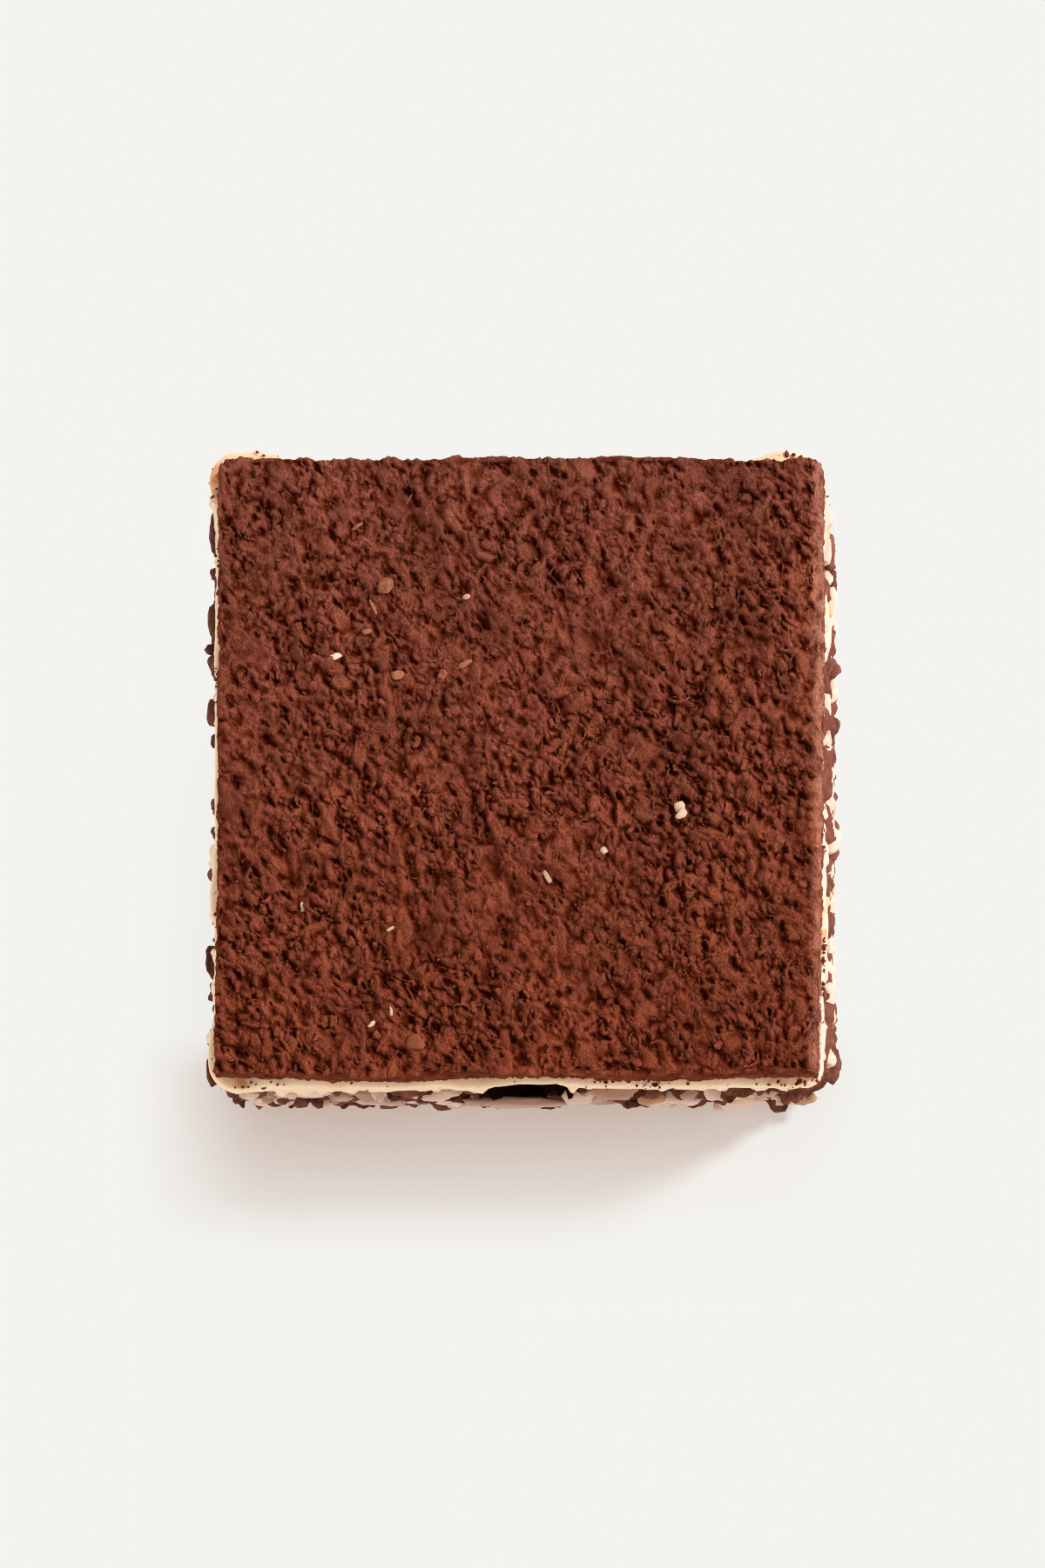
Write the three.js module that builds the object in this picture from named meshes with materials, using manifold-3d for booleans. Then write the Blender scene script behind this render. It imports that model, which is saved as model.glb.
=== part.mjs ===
// A square slice of layered brownie: a chunky chocolate base with pale flakes in it, a cream filling,
// and a crumb top dusted with cocoa. Millimetres, +Z up, origin in the middle of the underside.
import * as THREE from "three";
import { ImprovedNoise } from "three/addons/math/ImprovedNoise.js";
import { mergeVertices } from "three/addons/utils/BufferGeometryUtils.js";
import Module from "manifold-3d";

const wasm = await Module();
wasm.setup();
const perlin = new ImprovedNoise();

// Driving dimensions
const SLICE_WIDTH = 64; // the cocoa top, along X
const SLICE_DEPTH = 65.6; // the cocoa top, along Y
const BASE_HEIGHT = 12.5;
const CREAM_HEIGHT = 7.5;
const TOP_HEIGHT = 9.5; // up to the mean level of the crumb

// The layers' levels
const CREAM_LEVEL = BASE_HEIGHT;
const TOP_LEVEL = CREAM_LEVEL + CREAM_HEIGHT;
const CRUMB_LEVEL = TOP_LEVEL + TOP_HEIGHT;

// The crumb top: a grid of crags with rounded corners and a worn rim
const TOP_CELLS = { across: 40, along: 41, up: 4 };
const TOP_CORNER = 1.8; // corner radius seen from above
const RIM_ROUND = 1.1; // how wide the worn rim is
const RIM_SLOPE = 0.8; // how steeply it falls away
const SPARE_DEPTH = 1; // below the top's level, cut off again at its flat underside
const CRAG = { span: 4.2, depth: 0.55 }; // shallow hills and hollows of the crumb
const GRAIN_DEPTH = 0.4; // single crumbs, one to a cell, up or down from that
const GRAIN_SEED = 3;
const CUT_SIDE = { span: 2.6, depth: 0.4 }; // roughness of the cut sides of the crumb

// Loose crumbs on the top, laid on a jittered grid
const CRUMB_ROWS = 6;
const CRUMB_SIZE = { least: 0.7, most: 1.25 }; // radius
const CRUMB_STRETCH = 1.3; // length to width
const CRUMB_FLATNESS = 0.65; // height to width
const CRUMB_ROUGHNESS = 0.24;
const CRUMB_MARGIN = 3; // bare border of the grid
const CRUMB_SEED = 21;

// Pale flecks on the top: [x, y, length, turn in degrees]
const PALE_FLECKS = [
  [-19.4, 11.9, 1.5, 10],
  [-5.6, 18.3, 1.0, 40],
  [16.9, -4.7, 1.9, 75],
  [9.0, -8.7, 1.0, 0],
  [3.0, -11.8, 1.4, 120],
  [-22.9, -15.0, 1.2, 100],
  [-13.6, -17.4, 1.0, 30],
  [-15.3, -27.5, 1.1, 50],
  [-13.3, -26.1, 1.1, 95],
  [-14.2, 20.1, 2.0, 0],
  [-13.0, 9.9, 1.2, 60],
  [-5.3, 10.8, 1.2, 20],
  [-10.7, -29.3, 2.0, 15],
];
const FLECK_SLIMNESS = 0.55;

// The cream: a soft band that stands proud of the top and swells at the corners
const CREAM_PROUD = 0.25; // beyond the top's sides
const CREAM_SWELL = 0.45; // extra at half its height
const CREAM_CORNER_SWELL = 1.0; // extra at the corners
const CREAM_CORNER_REACH = SLICE_WIDTH / 6; // how far from a corner that is felt
const CREAM_CORNER = 2.6; // corner radius before the swelling
const CREAM_WAVE = { span: 9, depth: 0.4 };
const CREAM_WAVE_RISE = 4; // how much faster it changes with height than along the side
const CREAM_STEPS = 6;

// The base: a core with a rough cut side, and lumps that stick out of it
const BASE_PROUD = 0.5; // the core's side beyond the top's sides
const BASE_CORNER = 2.2;
const BASE_CRAG = { span: 3.4, depth: 0.7 };
const BASE_STEPS = 5;
const LUMP_ROOT = 0.8; // how far inside the core a lump's middle lies
const LUMP_ROUGHNESS = 0.5; // how far a block's corners may be knocked in
const LUMP_LEAN = 0.5; // most it leans along its side, in radians
const LUMP_SEED = 7;
const CLEARANCE = 0.3; // from a lump to the cream above it and to the surface below

// Large flakes, nuts and chocolate pieces, listed by the side that they stick out of:
// [place along the side, level, length, thickness, reach beyond the top's side]
const LARGE_LUMPS = {
  front: [
    [-25.4, 10.2, 3.6, 1.8, 1.0],
    [-18.8, 9.8, 3.0, 2.0, 1.1],
    [-9.4, 10.8, 4.6, 1.4, 1.1],
    [-0.6, 9.2, 8.6, 1.4, 1.6],
    [5.4, 9.6, 2.8, 2.4, 1.7],
    [8.6, 10.6, 3.6, 2.2, 1.5],
    [13.6, 10.0, 3.2, 1.8, 1.4],
    [17.7, 10.6, 1.8, 1.6, 1.1],
    [23.0, 9.8, 2.6, 2.2, 1.6],
    [26.2, 10.6, 2.9, 1.6, 1.2],
  ],
  right: [
    [24.5, 9.5, 3.2, 2.4, 1.2],
    [21.8, 7.0, 2.0, 2.0, 1.7],
    [18.2, 10.4, 2.6, 1.8, 1.0],
    [12.4, 6.0, 2.2, 1.6, 1.8],
    [6.4, 10.6, 4.6, 1.4, 0.9],
    [2.9, 10.0, 1.6, 1.6, 1.1],
    [-1.4, 9.2, 4.6, 2.0, 1.0],
    [-5.8, 9.8, 3.2, 1.8, 1.8],
    [-14.2, 9.0, 2.8, 2.0, 1.0],
    [-20.4, 9.6, 3.4, 1.8, 1.0],
    [-30.2, 7.0, 3.4, 2.2, 1.8],
  ],
  left: [
    [-26.6, 8.5, 4.2, 2.6, 1.2],
    [-16.6, 8.5, 4.0, 2.6, 1.2],
    [-11.6, 7.6, 2.6, 2.2, 1.4],
    [-6.0, 8.2, 2.4, 2.2, 1.3],
    [3.4, 7.4, 1.8, 1.8, 1.2],
    [10.4, 6.0, 1.6, 1.6, 1.5],
    [18.4, 6.6, 2.8, 2.2, 1.7],
    [23.0, 6.4, 2.4, 2.2, 1.7],
    [27.8, 7.6, 2.4, 2.0, 1.2],
  ],
};
const SIDES = ["front", "right", "back", "left"]; // each a quarter turn on from the one before

// Smaller lumps fill the sides in courses between them
const LUMP_COURSES = 3;
const LUMPS_PER_COURSE = 5; // on each side
const LUMP_LENGTH = { least: 2.0, most: 4.2 };
const LUMP_THICKNESS = { least: 1.4, most: 2.6 };
const LUMP_REACH = { least: 0.8, most: 1.5 };

// A gap under the cream in the middle of the front
const GAP = { along: 0.2, level: 11.9, length: 8, height: 2.4, depth: 2.6 };

// Each layer's plain colour and roughness
const BASE_LOOK = { color: 0x5a3530, roughness: 0.7 };
const CREAM_LOOK = { color: 0xe2c19f, roughness: 0.5 };
const TOP_LOOK = { color: 0x683021, roughness: 0.95 };

// Fineness of the outlines, and small limits
const OUTLINE_STEPS = 26; // points along each straight side of a layer's outline
const CORNER_STEPS = 4; // points round each corner
const CORNER_FROM = 0.9; // a point this near to both faces, as a share, belongs to a corner
const ON_FACE = 0.01; // nearer to a face than this lies on it
const OFF_LATTICE = 0.5; // mm off the level at which the noise has a row of zeros

// Repeatable random numbers from 0 to 1.
function randomFrom(seed) {
  let state = seed >>> 0;
  return () => {
    state = (state + 0x6d2b79f5) >>> 0;
    let mixed = Math.imul(state ^ (state >>> 15), state | 1);
    mixed ^= mixed + Math.imul(mixed ^ (mixed >>> 7), mixed | 61);
    return ((mixed ^ (mixed >>> 14)) >>> 0) / 2 ** 32;
  };
}

const between = ({ least, most }, share) => least + (most - least) * share;

// Smooth noise of a given span and depth at a point.
function unevenness({ span, depth }, x, y, z) {
  return depth * perlin.noise(x / span, y / span, z / span);
}

// A geometry that holds only positions, with its shared vertices merged.
function weld(geometry) {
  geometry.deleteAttribute("normal");
  geometry.deleteAttribute("uv");
  return mergeVertices(geometry);
}

// Moves every vertex of a geometry by a function that changes the point it is given.
function reshape(geometry, move) {
  const position = geometry.getAttribute("position");
  const point = new THREE.Vector3();
  for (let i = 0; i < position.count; i++) {
    move(point.fromBufferAttribute(position, i));
    position.setXYZ(i, point.x, point.y, point.z);
  }
  return geometry;
}

function toSolid(geometry) {
  const welded = weld(geometry);
  return new wasm.Manifold(
    new wasm.Mesh({
      numProp: 3,
      vertProperties: new Float32Array(welded.getAttribute("position").array),
      triVerts: new Uint32Array(welded.index.array),
    }),
  );
}

function toGeometry(solid) {
  const mesh = solid.getMesh();
  return new THREE.BufferGeometry()
    .setAttribute("position", new THREE.BufferAttribute(mesh.vertProperties, 3))
    .setIndex(new THREE.BufferAttribute(mesh.triVerts, 1));
}

// The box between two levels, wider than the slice, as a solid to cut with.
function levels(low, high) {
  const box = new THREE.BoxGeometry(2 * SLICE_WIDTH, 2 * SLICE_DEPTH, high - low);
  return toSolid(box.translate(0, 0, (low + high) / 2));
}

// Pulls a point of a square block in towards a rounded corner of the given radius.
function roundCorner(point, halfWidth, halfDepth, radius) {
  const u = (Math.abs(point.x) - (halfWidth - radius)) / radius;
  const v = (Math.abs(point.y) - (halfDepth - radius)) / radius;
  if (u <= 0 || v <= 0) return;
  const arcX = halfWidth - radius + radius * u * Math.sqrt(1 - (v * v) / 2);
  const arcY = halfDepth - radius + radius * v * Math.sqrt(1 - (u * u) / 2);
  point.x = Math.sign(point.x) * arcX;
  point.y = Math.sign(point.y) * arcY;
}

// A rounded rectangle with evenly spaced points, so that its sides can be roughened.
function roundedOutline(halfWidth, halfDepth, radius) {
  const shape = new THREE.Shape();
  const corners = [
    [halfWidth - radius, halfDepth - radius],
    [-halfWidth + radius, halfDepth - radius],
    [-halfWidth + radius, -halfDepth + radius],
    [halfWidth - radius, -halfDepth + radius],
  ];
  const points = [];
  corners.forEach(([x, y], quarter) => {
    for (let i = 0; i <= CORNER_STEPS; i++) {
      const angle = ((quarter + i / CORNER_STEPS) * Math.PI) / 2;
      points.push(new THREE.Vector2(x + radius * Math.cos(angle), y + radius * Math.sin(angle)));
    }
    const next = corners[(quarter + 1) % corners.length];
    const turned = ((quarter + 1) * Math.PI) / 2;
    const from = points.at(-1);
    const to = new THREE.Vector2(next[0] + radius * Math.cos(turned), next[1] + radius * Math.sin(turned));
    for (let i = 1; i < OUTLINE_STEPS; i++) points.push(from.clone().lerp(to, i / OUTLINE_STEPS));
  });
  return shape.setFromPoints(points);
}

// A layer extruded from its outline, with its side moved outwards by proud(point) before it is lifted
// to its level.
function layerSolid(outline, level, height, steps, proud) {
  const geometry = new THREE.ExtrudeGeometry(outline, { depth: height, steps, bevelEnabled: false });
  const outwards = new THREE.Vector3();
  const moved = reshape(weld(geometry), (point) => {
    outwards.set(point.x / SLICE_WIDTH, point.y / SLICE_DEPTH, 0);
    const flat = Math.max(Math.abs(outwards.x), Math.abs(outwards.y));
    // Along a straight side only that side's direction counts; a corner moves along both.
    outwards.x = Math.abs(outwards.x) > CORNER_FROM * flat ? Math.sign(outwards.x) : 0;
    outwards.y = Math.abs(outwards.y) > CORNER_FROM * flat ? Math.sign(outwards.y) : 0;
    point.addScaledVector(outwards.normalize(), proud(point));
  });
  return toSolid(moved.translate(0, 0, level));
}

// How near a point lies to a corner of the slice: 1 at the corner, 0 from reach away.
function cornerShare(point, reach) {
  const away = Math.hypot(SLICE_WIDTH / 2 - Math.abs(point.x), SLICE_DEPTH / 2 - Math.abs(point.y));
  return Math.max(0, 1 - away / reach);
}

// The crumb top's craggy block, before its loose crumbs, a little too deep at its underside.
function craggyGeometry() {
  const halfWidth = SLICE_WIDTH / 2;
  const halfDepth = SLICE_DEPTH / 2;
  const random = randomFrom(GRAIN_SEED);
  const { across, along, up } = TOP_CELLS;
  const height = TOP_HEIGHT + SPARE_DEPTH;
  const block = new THREE.BoxGeometry(SLICE_WIDTH, SLICE_DEPTH, height, across, along, up);
  block.translate(0, 0, CRUMB_LEVEL - height / 2);
  return reshape(weld(block), (point) => {
    const { x, y, z } = point;
    const inset = Math.min(halfWidth - Math.abs(x), halfDepth - Math.abs(y));
    if (z > CRUMB_LEVEL - ON_FACE) {
      const fall = RIM_SLOPE * Math.max(0, RIM_ROUND - inset);
      point.z += unevenness(CRAG, x, y, OFF_LATTICE) + GRAIN_DEPTH * (2 * random() - 1) - fall;
    }
    roundCorner(point, halfWidth, halfDepth, TOP_CORNER);
    if (inset < ON_FACE) {
      const rough = unevenness(CUT_SIDE, x, y, z);
      point.x += rough * (Math.abs(x) > halfWidth - ON_FACE ? Math.sign(x) : 0);
      point.y += rough * (Math.abs(y) > halfDepth - ON_FACE ? Math.sign(y) : 0);
    }
  });
}

// A function that tells how high a geometry's upper surface stands at x, y.
function surfaceOf(geometry) {
  const mesh = new THREE.Mesh(geometry);
  const down = new THREE.Vector3(0, 0, -1);
  const caster = new THREE.Raycaster();
  return (x, y) => {
    caster.set(new THREE.Vector3(x, y, 2 * CRUMB_LEVEL), down);
    return caster.intersectObject(mesh)[0].point.z;
  };
}

// A crumb: a rough ball of a few faces, to be scaled and turned.
function crumbGeometry(random) {
  const ball = weld(new THREE.IcosahedronGeometry(1, 0));
  return reshape(ball, (point) => point.multiplyScalar(1 + CRUMB_ROUGHNESS * (2 * random() - 1)));
}

// A flake or broken piece: a block with its corners knocked in, to be scaled and turned.
function brokenBlock(random) {
  const block = weld(new THREE.BoxGeometry(2, 2, 2));
  return reshape(block, (point) => {
    point.x *= 1 - LUMP_ROUGHNESS * random();
    point.y *= 1 - LUMP_ROUGHNESS * random();
    point.z *= 1 - LUMP_ROUGHNESS * random();
  });
}

// Loose crumbs, one in each cell of a jittered grid over the top, half sunk into it.
function looseCrumbs(surface) {
  const random = randomFrom(CRUMB_SEED);
  const pitchX = (SLICE_WIDTH - 2 * CRUMB_MARGIN) / CRUMB_ROWS;
  const pitchY = (SLICE_DEPTH - 2 * CRUMB_MARGIN) / CRUMB_ROWS;
  const crumbs = [];
  for (let row = 0; row < CRUMB_ROWS; row++) {
    for (let column = 0; column < CRUMB_ROWS; column++) {
      const radius = between(CRUMB_SIZE, random());
      const x = -SLICE_WIDTH / 2 + CRUMB_MARGIN + (column + random()) * pitchX;
      const y = -SLICE_DEPTH / 2 + CRUMB_MARGIN + (row + random()) * pitchY;
      const crumb = crumbGeometry(random)
        .scale(radius * CRUMB_STRETCH, radius, radius * CRUMB_FLATNESS)
        .rotateZ(random() * Math.PI)
        .translate(x, y, surface(x, y));
      crumbs.push(toSolid(crumb));
    }
  }
  return crumbs;
}

// The pale flecks, each half sunk into the crumb.
function paleFlecks(surface) {
  const random = randomFrom(CRUMB_SEED + 1);
  return PALE_FLECKS.map(([x, y, length, turn]) => {
    const half = length / 2;
    const fleck = crumbGeometry(random)
      .scale(half, half * FLECK_SLIMNESS, half * FLECK_SLIMNESS)
      .rotateZ(THREE.MathUtils.degToRad(turn))
      .translate(x, y, surface(x, y));
    return toSolid(fleck);
  });
}

function cocoaTop() {
  const block = craggyGeometry();
  const surface = surfaceOf(block);
  const whole = wasm.Manifold.union([toSolid(block), ...looseCrumbs(surface), ...paleFlecks(surface)]);
  return whole.intersect(levels(TOP_LEVEL, CRUMB_LEVEL + TOP_HEIGHT));
}

function creamFilling() {
  const outline = roundedOutline(SLICE_WIDTH / 2, SLICE_DEPTH / 2, CREAM_CORNER);
  return layerSolid(outline, CREAM_LEVEL, CREAM_HEIGHT, CREAM_STEPS, (point) => {
    const rise = point.z / CREAM_HEIGHT;
    const swell = CREAM_SWELL * Math.sin(Math.PI * rise);
    const corner = CREAM_CORNER_SWELL * cornerShare(point, CREAM_CORNER_REACH);
    const wave = unevenness(CREAM_WAVE, point.x, point.y, CREAM_WAVE_RISE * point.z);
    return CREAM_PROUD + swell + corner + wave;
  });
}

// A lump on a side of the base, its middle inside the core.
function lumpOnSide(random, side, [along, level, length, thickness, reach]) {
  const sideFace = (side % 2 === 0 ? SLICE_DEPTH : SLICE_WIDTH) / 2;
  const halfDepth = reach - BASE_PROUD + LUMP_ROOT;
  const low = thickness / 2 + CLEARANCE;
  const lump = brokenBlock(random)
    .scale(length / 2, halfDepth, thickness / 2)
    .rotateY(LUMP_LEAN * (2 * random() - 1))
    .translate(along, -(sideFace + reach - halfDepth), THREE.MathUtils.clamp(level, low, BASE_HEIGHT - low))
    .rotateZ((side * Math.PI) / 2);
  return toSolid(lump);
}

function largeLumps() {
  const random = randomFrom(LUMP_SEED);
  return Object.entries(LARGE_LUMPS).flatMap(([name, lumps]) => {
    return lumps.map((lump) => lumpOnSide(random, SIDES.indexOf(name), lump));
  });
}

// Small lumps in courses up the four sides, one in each stretch of a course at a drawn place.
function smallLumps() {
  const random = randomFrom(LUMP_SEED + 1);
  const lumps = [];
  for (let side = 0; side < SIDES.length; side++) {
    const run = (side % 2 === 0 ? SLICE_WIDTH : SLICE_DEPTH) - 2 * BASE_CORNER;
    for (let course = 0; course < LUMP_COURSES; course++) {
      for (let i = 0; i < LUMPS_PER_COURSE; i++) {
        const along = ((i + random()) / LUMPS_PER_COURSE - 0.5) * run;
        const level = ((course + random()) / LUMP_COURSES) * BASE_HEIGHT;
        const length = between(LUMP_LENGTH, random());
        const thickness = between(LUMP_THICKNESS, random());
        const reach = between(LUMP_REACH, random());
        lumps.push(lumpOnSide(random, side, [along, level, length, thickness, reach]));
      }
    }
  }
  return lumps;
}

// The hollow that is cut out of the base for the gap under the cream.
function gapSolid() {
  const hollow = new THREE.IcosahedronGeometry(1, 1)
    .scale(GAP.length / 2, GAP.depth, GAP.height / 2)
    .translate(GAP.along, -SLICE_DEPTH / 2 - BASE_PROUD, GAP.level);
  return toSolid(hollow);
}

function chunkyBase() {
  const outline = roundedOutline(SLICE_WIDTH / 2, SLICE_DEPTH / 2, BASE_CORNER);
  const core = layerSolid(outline, 0, BASE_HEIGHT, BASE_STEPS, (point) => {
    return BASE_PROUD + unevenness(BASE_CRAG, point.x, point.y, point.z + OFF_LATTICE);
  });
  const lumpy = wasm.Manifold.union([core.subtract(gapSolid()), ...largeLumps(), ...smallLumps()]);
  return lumpy.intersect(levels(0, BASE_HEIGHT));
}

function piece(name, solid, look) {
  const material = new THREE.MeshStandardMaterial({ ...look, metalness: 0 });
  const mesh = new THREE.Mesh(toGeometry(solid), material);
  mesh.name = name;
  return mesh;
}

const slice = new THREE.Group();
slice.name = "brownie_slice";
slice.add(piece("chunky_base", chunkyBase(), BASE_LOOK));
slice.add(piece("cream_filling", creamFilling(), CREAM_LOOK));
slice.add(piece("cocoa_top", cocoaTop(), TOP_LOOK));

export default slice;
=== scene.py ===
"""A square slice of layered brownie seen from almost straight above, on a pale studio floor.

The slice has three layers: a chunky chocolate base with pale flakes, a cream filling, and a crumb top
dusted with cocoa. Lengths are in millimetres, and MM turns them into metres.
"""

import math
from functools import reduce
from itertools import product

import bmesh
import bpy
import numpy as np
from mathutils import Euler, Matrix, Vector


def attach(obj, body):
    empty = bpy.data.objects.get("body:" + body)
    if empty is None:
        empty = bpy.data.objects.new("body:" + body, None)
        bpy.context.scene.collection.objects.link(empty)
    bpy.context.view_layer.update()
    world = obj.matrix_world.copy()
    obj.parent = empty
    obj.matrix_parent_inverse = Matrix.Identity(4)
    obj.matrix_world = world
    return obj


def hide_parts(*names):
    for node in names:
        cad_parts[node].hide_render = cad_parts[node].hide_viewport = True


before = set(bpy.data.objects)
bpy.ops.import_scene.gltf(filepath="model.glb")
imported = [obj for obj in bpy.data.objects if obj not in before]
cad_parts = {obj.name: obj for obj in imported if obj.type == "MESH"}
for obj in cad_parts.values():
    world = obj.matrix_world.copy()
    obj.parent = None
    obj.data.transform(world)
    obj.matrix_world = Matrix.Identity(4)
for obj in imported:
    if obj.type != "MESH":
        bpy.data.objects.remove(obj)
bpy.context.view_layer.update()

MM = 0.001

# Sizes of the slice, as in the CAD model
SLICE_WIDTH = 64.0
SLICE_DEPTH = 65.6
BASE_HEIGHT = 12.5
CREAM_HEIGHT = 7.5
TOP_HEIGHT = 9.5
CREAM_LEVEL = BASE_HEIGHT
TOP_LEVEL = CREAM_LEVEL + CREAM_HEIGHT
CRUMB_LEVEL = TOP_LEVEL + TOP_HEIGHT
HALF_WIDTH = SLICE_WIDTH / 2
HALF_DEPTH = SLICE_DEPTH / 2
SIDES = ("front", "right", "back", "left")  # each a quarter turn on from the one before

# The camera, read from the photograph
PICTURE_WIDTH = 1200
PICTURE_HEIGHT = 1800
TOP_WIDTH_IN_PIXELS = 694
TOP_CENTRE_IN_PIXELS = (596.5, 878.6)
CAMERA_TILT_FRONT = math.radians(4.8)
CAMERA_TILT_RIGHT = math.radians(1.1)
CAMERA_DISTANCE = 2500.0
CAMERA_SIGHT = 100.0  # in metres
SENSOR_WIDTH = 36.0
PIXEL_FILTER = 1.0

# Lamps: (name, direction towards it, strength, angle across, colour)
NEUTRAL = (1.0, 1.0, 1.0)
WARM = (1.0, 0.87, 0.76)
SUNS = (
    ("key", Vector((0.595, 0.357, 0.719)), 2.45, math.radians(9), NEUTRAL),
    ("rim", Vector((0.95, 0.12, 0.29)), 0.8, math.radians(25), NEUTRAL),
    ("fill", Vector((-0.5, -0.8, 0.33)), 0.55, math.radians(30), WARM),
)

# The sky's colours at the horizon and overhead, and the rise between which one turns into the other
PALE = (0.905, 0.896, 0.863)
ZENITH = (0.40, 0.35, 0.32)
ZENITH_FADE = (0.3, 0.85)
SKY_STEPS = 1000

# The floor, and how much of its tone the slice's shadow can take away
FLOOR_LEVEL = -0.1
FLOOR_REACH = 15.0  # in metres
SHADOW_DEPTH = (0.50, 0.62, 0.64)

# Where the floor takes the shadow: (axis, place with none of it, place with most of it, most)
FRONT_SHADE = (("Y", -24, -32, 1.0), ("Y", -56, -34, 1.0), ("X", -44, -26, 1.0), ("X", 42, 26, 1.0))
LEFT_SHADE = (("X", -42, -33, 1.0), ("X", 0, -30, 1.0), ("Y", 26, -20, 0.12))

# Factors that mix up the numbers of a lattice's cells
HASH_FACTORS = np.array([73856093, 19349663, 83492791])
HASH_SEED_FACTOR = 40503217
HASH_MIXER = 0x45D9F3B
HASH_MASK = 0xFFFFFFFF

# A distance beyond all that count, and a length that keeps a division from failing
FAR = 9.0
TINY = 1e-9

# Waves of the seams between the layers. Like all noise below: (height, span, octaves, seed)
CREAM_SEAM = (0.45, 6.0, 3, 101)
TOP_SEAM = (0.45, 6.0, 3, 105)

# The crumb's block: half sizes, radius of its edges and of its back corners, and fineness of its meshes
CRUMB_HALF = np.array([HALF_WIDTH, HALF_DEPTH, TOP_HEIGHT / 2])
CRUMB_RADIUS = 0.5
BACK_CORNER = 1.4
CRUMB_CELL = 0.125
RASTER_MARGIN = 1.0
RASTER_END = 1.001  # keeps a place at the end just inside the last cell
TOP_PARTS = ("left", "middle", "right")
SIDE_ROWS = 38
SIDE_SKIP = 2  # cells of the top to one of a side

# The crumb's sides: where the top begins, how far they lie back, and how much the relief moves the edges
TOP_RISE = (0.1, 0.6)
SIDE_TUCK = 0.05
EDGE_SPREAD = {"front": 0.6, "right": 0.3, "back": 0.9, "left": 0.3}
RIGHT_SWELL = 0.25
FRONT_SHIFT = 0.4  # to the left

# The crumb's front edge waves in and out: how far, over what length, and where one crest lies
FRONT_WAVE = 0.28
FRONT_WAVE_LENGTH = 30.0
FRONT_WAVE_CREST = -16.0

# Where the crumb's back edge stands out or falls back: (x, y, reach, extra)
CRUMB_BULGES = (
    (-16.0, 32.8, 6.0, -0.25),
    (-3.4, 32.8, 4.0, 0.25),
    (11.8, 32.8, 4.0, 0.30),
    (26.0, 32.8, 3.5, -0.45),
)

# The crumb is pressed along its right edge: where, how much relief it loses, how far it falls, and its dust,
# which is also painted light
PRESSED_BAND = (30.7, 31.7)
PRESSED_SHARE = 0.75
PRESSED_FALL = 0.35
PRESSED_DUST_AND_LIGHT = 0.7
# The dust down the right side also stands for painted light there
LIT_DUSTED_WALL = 4.0  # how far the dust reaches down the right side
# Painted light: the crumb's tint rises towards the back
BACK_LIGHT_TINT = 0.17  # how much lighter the crumb is at the back

# The pile of chips and strands that the crumb is made of, and the turn that most of them share
PILE_SEED = 17
PILE_FLOOR = -0.55
SHRED_TURN = math.radians(122)
SHRED_TURN_SPREAD = math.radians(36)
SHRED_STRETCH = 0.45
SMALLNESS = 1.6  # a power that makes small ones the most common

# Angular chips in the pile: (number, radius, stretch, height of the top, tilt)
CHIP_KINDS = (
    (500, (0.40, 0.85), (1.3, 2.4), (-0.75, 0.05), 0.36),
    (5600, (0.16, 0.40), (1.3, 3.0), (-0.60, 0.40), 0.60),
    (13000, (0.10, 0.20), (1.0, 2.4), (-0.45, 0.42), 0.70),
    (300, (0.34, 0.85), (1.0, 1.7), (0.10, 0.48), 0.35),
)
CHIP_SIDES = 6
CHIP_REACH = 1.3
CHIP_UNEVENNESS = 0.2
CHIP_SIDE_REACH = (0.75, 1.1)
CHIP_STEEPNESS = (0.9, 2.6)
CHIP_FOOT = -0.8

# Strands and grains in the pile: (number, radius, half length, height of the crest, bend)
STRAND_KINDS = (
    (1800, (0.10, 0.17), (0.25, 1.0), (-0.20, 0.40), 0.45),
    (7000, (0.07, 0.14), (0.00, 0.20), (-0.40, 0.38), 0.00),
)
STRAND_SHORTNESS = 1.5
STRAND_SLOPE = 0.2

# Cocoa dust on the pile: how thick, how much less so to the right, its patches, blur, unevenness and grain
DUST_MEAN = 0.15
DUST_FALL = 0.006
DUST_PATCHES = (0.7, 6.0, 2, 13)
DUST_BLUR = 0.10
DUST_RELIEF = (0.09, 1.0, 4, 21)
GRAIN_HEIGHT = 0.031

# Hollows and small pits in the crumb: (depth, noise, where in the noise they start and are deepest)
HOLLOWS = ((0.36, (1.0, 2.4, 3, 41), (0.05, 0.75)), (0.42, (1.0, 0.95, 3, 51), (0.66, 1.0)))

# How rough the pile is from place to place, how it swells, and the blur that sets a crest apart
ROUGH_MEAN = 1.08
ROUGH_PATCHES = (0.45, 11.0, 2, 61)
ROUGH_LIMITS = (0.8, 1.35)
TOP_SWELL = (0.9, 7.0, 3, 11)
CREST_BLUR = 0.9

# The crumb's cut sides: warp (span, amount, seed), domes (height, span, seed), holes as in holes(), and noise
SIDE_WARP = (1.3, 0.6, 14)
SIDE_LUMPS = (0.36, 1.5, 15)
SIDE_CRUMBS = (0.28, 0.7, 25)
SIDE_PITS = (0.7, 2.1, 0.28, 0.45, 18)
SIDE_GRAIN = (0.08, 0.5, 2, 20)
SIDE_SWELL = (0.1, 9.0, 2, 19)
SIDE_MEAN = 0.3

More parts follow.
